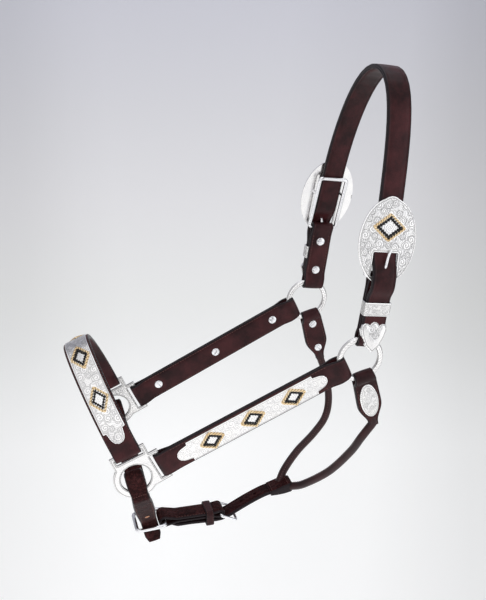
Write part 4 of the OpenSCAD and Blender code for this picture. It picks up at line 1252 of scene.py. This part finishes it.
# buckle tongues: a rolled hub and a curved, tapering blade
pts = resample([(0, -2.2, 2.2), (0, -6.6, 6.8), (0, -10.6, 11.6), (0.3, -11.1, 17), (1.7, -10.4, 23),
                (4.4, -PLATE_OUT - 1.9, 28.3)], 0.9, soften=3.0)
tongue = tube(pts, 1.8 - 0.75 * np.linspace(0, 1, len(pts)) ** 2, sides=12, start_side=(1, 0, 0))
tube([(x, 0, 0) for x in HUB], [4.0, *[4.3] * 5, 4.0], geo=tongue, sides=24)
both("buckle_tongue_blade", tongue, "buckle_tongue", [NICKEL], BUCKLE)

# ---- silver keepers and tips

# the band's height, how far up the leg it starts, half its wall, and the spacing of points round it
KEEPER_H, KEEPER_LOW, WALL, BAND_STEP = 14.0, 51, 0.6, 0.6
front = BILLET_T + HALF_T + 0.3
in_w = CROWN_HALF + 0.7
rect = rounded_corners([(-in_w - WALL, -front - WALL, 0), (in_w + WALL, -front - WALL, 0),
                        (in_w + WALL, 0, 0), (-in_w - WALL, 0, 0)], 1.6, 22)
ring_path = resample(rect, BAND_STEP, True)
out_n = np.cross(tangents(ring_path, True), (0, 0, 1.0))
if (out_n * (ring_path - ring_path.mean(0))).sum() < 0:
    out_n = -out_n
levels = np.linspace(0, KEEPER_H, 25)
nr, nl = len(ring_path), len(levels)
uu, vv = np.meshgrid(np.arange(nr) * BAND_STEP, levels, indexing="ij")
pattern, ink_and_painted_shade = engraved(0.0, depth=0.2, rim=1.5, pitch=6.4, seed=4.0, bevel=0.4, dark=0.6)(
    uu.ravel(), vv.ravel(), np.minimum(vv, KEEPER_H - vv).ravel())
up = np.array([0, 0, 1]) * vv[..., None]
outer_v = ring_path[:, None] + out_n[:, None] * (WALL + pattern.reshape(nr, nl))[..., None] + up
inner_v = ring_path[:, None] - out_n[:, None] * WALL + up
verts = np.concatenate([outer_v.reshape(-1, 3), inner_v.reshape(-1, 3)])
faces = []
for i in range(nr):
    k = (i + 1) % nr
    for j in range(nl - 1):
        faces.append((i * nl + j, k * nl + j, k * nl + j + 1, i * nl + j + 1))
        o = nr * nl
        faces.append((o + i * nl + j + 1, o + k * nl + j + 1, o + k * nl + j, o + i * nl + j))
    for j in (0, nl - 1):
        faces.append((i * nl + j, nr * nl + i * nl + j, nr * nl + k * nl + j, k * nl + j))
keeper = Geo().add(verts, faces, 0, np.concatenate([ink_and_painted_shade, np.zeros(nr * nl)]))
both("silver_keeper_band", keeper, "silver_keeper", [SILVER], CROWN @ shift(0, -RING_Y, KEEPER_LOW))

# silver tip: local X across, Y up, Z outward
tip_face = (NEAR_LEG @ shift(0, -BILLET_T, BILLET_TURN) @ turn("x", -TIP_SLANT)
            @ shift(0, 0, -BILLET_TURN) @ turn("x", 90))


def tip_loop(top, scallops):
    d = 1.1
    half = [(0, 14 - d * 1.4), (6.3 + d * 0.8, 20 - d * 0.8), (10.7 + d * 0.9, 29 - d * 0.4),
            (CROWN_HALF + d, 35.6), (CROWN_HALF + d, top - 0.5)]
    if scallops:
        half += arc(8.9, top, 4.5, 5, 150, 14) + arc(0, top + 1.0, 5.2, 28, 90, 12)
    else:
        half += [(CROWN_HALF + d, top), (0, top)]
    return np.array(half + [(-a, b) for a, b in half[-2:0:-1]])


def tip_leaf(u, v):
    """1 inside the heart-shaped leaf in the middle of the tip and 0 outside it."""
    return np.clip((1 - np.hypot(u / 6.5, (v - 32.5) / 8.0)) * 6, 0, 1)


cap = plate([tip_loop(38.0, True)], 0.6,
            engraved(HALF_T + 1.1, depth=0.22, rim=1.3, pitch=8.6, seed=0.7, dome=0.5, bevel=0.9,
                     keep_out=tip_leaf), 0.0)
lip = plate([tip_loop(36.0, False)], 1.4, lambda u, v, d: (np.zeros_like(u), np.zeros_like(u)), -HALF_T - 0.5)
cap.extend(lip)
both("silver_tip_cap", cap, "silver_tip", [SILVER], tip_face)

# ---- rings and nose rings

RING_R, WIRE_R = 22.3, 3.1
n_u, n_v = 288, 30
TH, PH = np.meshgrid(2 * np.pi * np.arange(n_u) / n_u, 2 * np.pi * np.arange(n_v) / n_v, indexing="ij")
front_of = np.abs(np.sin(PH))
groove = np.exp(-((front_of - 0.45) / 0.09) ** 2)
face_zone = np.clip((front_of - 0.55) / 0.15, 0, 1)
hatch = np.clip(np.cos(40 * TH + 3.0 * np.sin(2 * PH)) * 3 - 1.2, 0, 1) * face_zone
wire = WIRE_R - 0.32 * groove - 0.07 * hatch
rr = RING_R + wire * np.cos(PH)
verts = np.stack([rr * np.cos(TH), wire * np.sin(PH), rr * np.sin(TH)], -1).reshape(-1, 3)
ring = Geo().add(verts, quads(n_u, n_v, True), 0, np.maximum(0.9 * groove, 0.35 * hatch).ravel())
both("upper_ring_silver", ring, "upper_ring", [SILVER], shift(*RING), RING_SHARP)

eye_loops = outline("near_nose_ring", EYE_FLAT, 1, -1)
EYE_FACE = EYE_FLAT @ turn("x", 90)


def eye_top(u, v, d):
    """Smooth silver with one fine line cut near the edge, a faint leaf in the broad parts, and painted shade
    darkening the very edge.
    """
    h, ink_and_painted_shade = engraved(1.5, depth=0.1, rim=1.3, pitch=8.5, seed=3.3, bevel=0.8)(u, v, d)
    line = np.clip(1.4 - np.abs(d - 1.3) / 0.4, 0, 1)
    # painted shade darkens the plate's outer edge
    edge = np.clip(1.3 - d / 0.5, 0, 1)
    return h, np.maximum.reduce([0.10 + 0.12 * ink_and_painted_shade, 0.95 * line, 0.6 * edge])


eye_plate = plate(eye_loops, 0.55, eye_top, 0.0, two_sided=True)
both("nose_ring_silver", eye_plate, "nose_ring", [SILVER], EYE_FACE)

# oval conchos: local X down the tab, Y across, Z outward
CONCHO_FACE = TAB @ shift(50, -HALF_T - 0.05, 0) @ turn("x", 90)
EGG_L, EGG_W = 20, 10
egg = np.array([(EGG_L * math.cos(a), EGG_W * math.sin(a)) for a in np.radians(np.arange(0, 360, 5))])


def concho_top(u, v, d):
    h, ink_and_painted_shade = engraved(1.2, depth=0.2, rim=1.9, pitch=7.0, seed=5.0, bevel=0.7, dark=0.6)(u, v, d)
    r = np.hypot(u / EGG_L, v / EGG_W)
    ang = np.arctan2(v / EGG_W, u / EGG_L)
    flute = np.clip(np.cos(44 * ang) * 2, 0, 1) * np.clip(1 - np.abs(d - 1.0) / 0.8, 0, 1)
    return h + 1.3 * np.clip(1 - r * r, 0, 1) ** 0.7 - 0.18 * flute, np.maximum(ink_and_painted_shade, flute * 0.7)


both("throat_concho_silver", plate([egg], 0.55, concho_top, 0.0), "throat_concho", [SILVER], CONCHO_FACE)

# ---- screws and rivets


def face_at(at, out, slot_dir):
    """A frame at a local point with local Z along out and X along slot_dir."""
    m = np.eye(4)
    z = unit(out)
    x = unit(np.array(slot_dir, float) - z * (np.array(slot_dir, float) @ z))
    m[:3, 0], m[:3, 1], m[:3, 2], m[:3, 3] = x, np.cross(z, x), z, at
    return m


def barrel(geo, matrix):
    """The flush post on the other side of a screw, its rim rounded off."""
    circle = np.array(arc(0, 0, 2.0, 0, 345, 15))
    post = plate([circle], 0.5, lambda u, v, d: (0.12 - 0.1 * np.clip(1 - d / 0.4, 0, 1), 0 * u), -0.8)
    geo.extend(post, matrix)


def screws(name, matrix, spots, half, out, first, turned, radius=SCREW_R, barrels=False):
    """Screws through a strap of half thickness half, their heads on the side out of local Y."""
    geo = Geo()
    for k, (x, z) in enumerate(spots):
        a = first + turned * k
        slot_dir = (math.cos(a), 0, math.sin(a))
        screw_head(geo, face_at((x, out * (half + 0.05), z), (0, out, 0), slot_dir), radius)
        if barrels:
            barrel(geo, face_at((x, -out * half, z), (0, -out, 0), (1, 0, 0)))
    both(f"{name}_screw_heads", geo, f"{name}_screws", [NICKEL], matrix)


screws("chape", NEAR_LEG, [(0, 38), (0, 73)], CHAPE_HALF, 1, 1, 2, barrels=True)
screws("cheek", CHEEK, [(48, 0), (CHEEK_MID, 0), (202, 0)], HALF_T, -1, 0.6, 1.9)
screws("tab", TAB, [(33, 0), (66, 0)], HALF_T, 1, 2.2, 1.4, 4.7)

RIVET_R = 2.6
rivet = Geo()
at_rivet = shift(0, -31.45, -79.46) @ turn("x", 40.8) @ turn("x", 90)
cap = plate([np.array(arc(0, 0, RIVET_R, 0, 345, 15))], 0.5,
            lambda u, v, d: (HALF_T + 1.15 - 0.5 * (np.hypot(u, v) / RIVET_R) ** 2, 0 * u), HALF_T)
for side_turn in (turn("x", 180), np.eye(4)):
    rivet.extend(cap, at_rivet @ side_turn)
both("chin_rivet_cap", rivet, "chin_rivet", [COPPER], CHIN)

# ---- chin ring and jaw buckle

JAW_WIRE_R = 1.7


def wire_loop(a, b, half, corner, step, radius, sides):
    """A rectangular wire loop across the plane of symmetry, its bars through a and b."""
    corners = [(q[0], y, q[1]) for q, y in ((a, -half), (b, -half), (b, half), (a, half))]
    return tube(resample(rounded_corners(corners, corner), step, True), radius, True, sides)


emit("chin_ring_wire", wire_loop(FRONT, REAR, 17, 4.5, 1.5, 2.3, 18), "chin_ring", [NICKEL])
emit("jaw_buckle_frame_wire", wire_loop(JAW_BAR, JAW_END, 14.5, 3.2, 1.2, JAW_WIRE_R, 14),
     "jaw_buckle_frame", [NICKEL])
down = unit(np.array([JAW_BAR[1] - JAW_END[1], JAW_END[0] - JAW_BAR[0]]))
tip = JAW_END - down * (JAW_WIRE_R + 2.5)
pts = resample([(JAW_BAR[0] + 2, 0, JAW_BAR[1] - 2),
                ((JAW_BAR[0] + tip[0]) / 2 + 2, 0, (JAW_BAR[1] + tip[1]) / 2 - 1.2),
                (tip[0] + 2, 0, tip[1] - 0.8)], 0.9, soften=2.0)
tongue = tube(pts, 1.45 - 0.35 * np.linspace(0, 1, len(pts)) ** 2, sides=12)
tube([(JAW_BAR[0], y, JAW_BAR[1]) for y in HUB], [3.1, *[3.4] * 5, 3.1], geo=tongue, sides=22,
     start_side=(1, 0, 0))
emit("jaw_buckle_tongue_blade", tongue, "jaw_buckle_tongue", [NICKEL])

# ---- floor, light and camera


def sweep():
    """A pale paper floor that curves up into a backdrop, with painted shade darker towards its back and top,
    a painted pool of light, and a painted glow.
    """
    floor_z, back, r, width = -0.78, 1.9, 0.9, 6.0
    line = [(-4.0, floor_z), (back - r, floor_z)]
    line += [(back - r + r * math.sin(a), floor_z + r - r * math.cos(a))
             for a in np.radians(np.arange(6, 91, 6))]
    line += [(back, 3.4)]
    ahead = np.array([0.2629, 0.9648])
    sideways = np.array([0.9648, -0.2629])
    verts = []
    for d, z in line:
        for s in (-width, width):
            q = ahead * d + sideways * s
            verts.append((q[0], q[1], z))
    faces = [(2 * i, 2 * i + 1, 2 * i + 3, 2 * i + 2) for i in range(len(line) - 1)]
    mesh = bpy.data.meshes.new("painted_light_paper_sweep")
    mesh.from_pydata(verts, [], faces)
    mesh.polygons.foreach_set("use_smooth", [True] * len(faces))
    m, nt, bsdf = new_material("paper")
    at = nt.nodes.new("ShaderNodeTexCoord").outputs["Object"]
    # painted shade: the paper's colour darkens the further back and the higher it lies
    depth = math_node(nt, "MULTIPLY_ADD", dot_node(nt, at, (ahead[0], ahead[1], 0.55)), 0.25, 0.32)
    tone = ramp(nt, depth, [
        (0.0, (0.74, 0.74, 0.74)), (0.12, (0.88, 0.88, 0.87)), (0.21, (0.90, 0.90, 0.885)),
        (0.35, (0.885, 0.888, 0.87)), (0.52, (0.722, 0.728, 0.71)), (0.63, (0.636, 0.634, 0.642)),
        (0.71, (0.557, 0.557, 0.58)), (0.79, (0.485, 0.487, 0.535)), (1.0, (0.40, 0.405, 0.46))])
    colour = tone.outputs["Color"]
    # a painted pool of light on the paper fades towards both sides
    for sign, start, fades in ((1, 0.5, ((0.15, 1.0), (0.35, 0.95), (0.5, 0.92), (0.67, 0.79), (0.9, 0.7))),
                               (-1, 0.0, ((0.2, 1.0), (0.3, 0.97), (0.45, 0.89), (0.8, 0.8)))):
        side = sign * 0.98 * sideways - 0.19 * ahead
        away = math_node(nt, "ADD", dot_node(nt, at, (side[0], side[1], 0.0)), start)
        painted_pool_fade = ramp(nt, away, [(x, (y, y, y)) for x, y in fades])
        colour = mix_colour(nt, 1.0, colour, painted_pool_fade.outputs["Color"], "MULTIPLY")
    grain = node(nt, "ShaderNodeTexNoise", Scale=700.0, Detail=2.0)
    nt.links.new(at, grain.inputs["Vector"])
    bump_from(nt, bsdf, grain.outputs["Fac"], 0.08, 0.0005)
    nt.links.new(colour, bsdf.inputs["Base Color"])
    nt.links.new(colour, bsdf.inputs["Emission Color"])
    # painted glow: the whole paper glows in its painted colour, and the paper in front of the halter, out of
    # the picture, glows more: the silver mirrors it
    painted_glow = ramp(nt, depth, [(0.12, (0.98,) * 3), (0.19, (0.29,) * 3)])
    nt.links.new(painted_glow.outputs["Color"], bsdf.inputs["Emission Strength"])
    bsdf.inputs["Roughness"].default_value = 0.9
    mesh.materials.append(m)
    o = bpy.data.objects.new("painted_light_paper_sweep", mesh)
    bpy.context.scene.collection.objects.link(o)


def area_light(name, at, target, size, watts, colour=(1, 1, 1)):
    data = bpy.data.lights.new(name, "AREA")
    data.shape = "DISK"
    data.size = size
    data.energy = watts
    data.color = colour
    o = bpy.data.objects.new(name, data)
    o.location = at
    o.rotation_euler = (Vector(target) - Vector(at)).to_track_quat("-Z", "Y").to_euler()
    bpy.context.scene.collection.objects.link(o)


sweep()
MIDDLE = (-0.15, 0.0, -0.28)
area_light("key", (-1.1, -1.5, 1.0), MIDDLE, 3.6, 14)
area_light("fill", (1.3, -1.2, 0.1), MIDDLE, 1.8, 7, (0.95, 0.97, 1.0))
area_light("top", (0.1, 0.5, 1.6), MIDDLE, 2.2, 10, (0.95, 0.96, 1.0))
area_light("low", (-0.5, -1.3, -0.6), (-0.1, 0.6, -0.7), 1.8, 2)

world = bpy.data.worlds.new("studio")
bpy.context.scene.world = world
world.use_nodes = True
wn = world.node_tree
sky = wn.nodes.new("ShaderNodeTexCoord")
split = wn.nodes.new("ShaderNodeSeparateXYZ")
wn.links.new(sky.outputs["Generated"], split.inputs[0])
shade = ramp(wn, math_node(wn, "MULTIPLY_ADD", split.outputs["Z"], 0.5, 0.5), [
    (0.0, (0.84, 0.84, 0.82)), (0.42, (0.56, 0.56, 0.585)), (0.6, (0.84, 0.84, 0.87)),
    (1.0, (0.97, 0.97, 0.99))])
wn.links.new(shade.outputs["Color"], wn.nodes["Background"].inputs["Color"])
wn.nodes["Background"].inputs["Strength"].default_value = 0.7

camera = bpy.data.objects.new("camera", bpy.data.cameras.new("camera"))
camera.data.lens = 54.0
camera.data.sensor_width = 36.0
camera.data.clip_start = 0.01
camera.matrix_world = Matrix(((0.96481, 0.09952, -0.24339, -0.3778), (-0.26295, 0.36515, -0.89304, -0.8562),
                              (0.0, 0.92561, 0.37847, 0.1269), (0, 0, 0, 1)))
bpy.context.scene.collection.objects.link(camera)
bpy.context.scene.camera = camera
bpy.context.scene.view_settings.view_transform = "Standard"
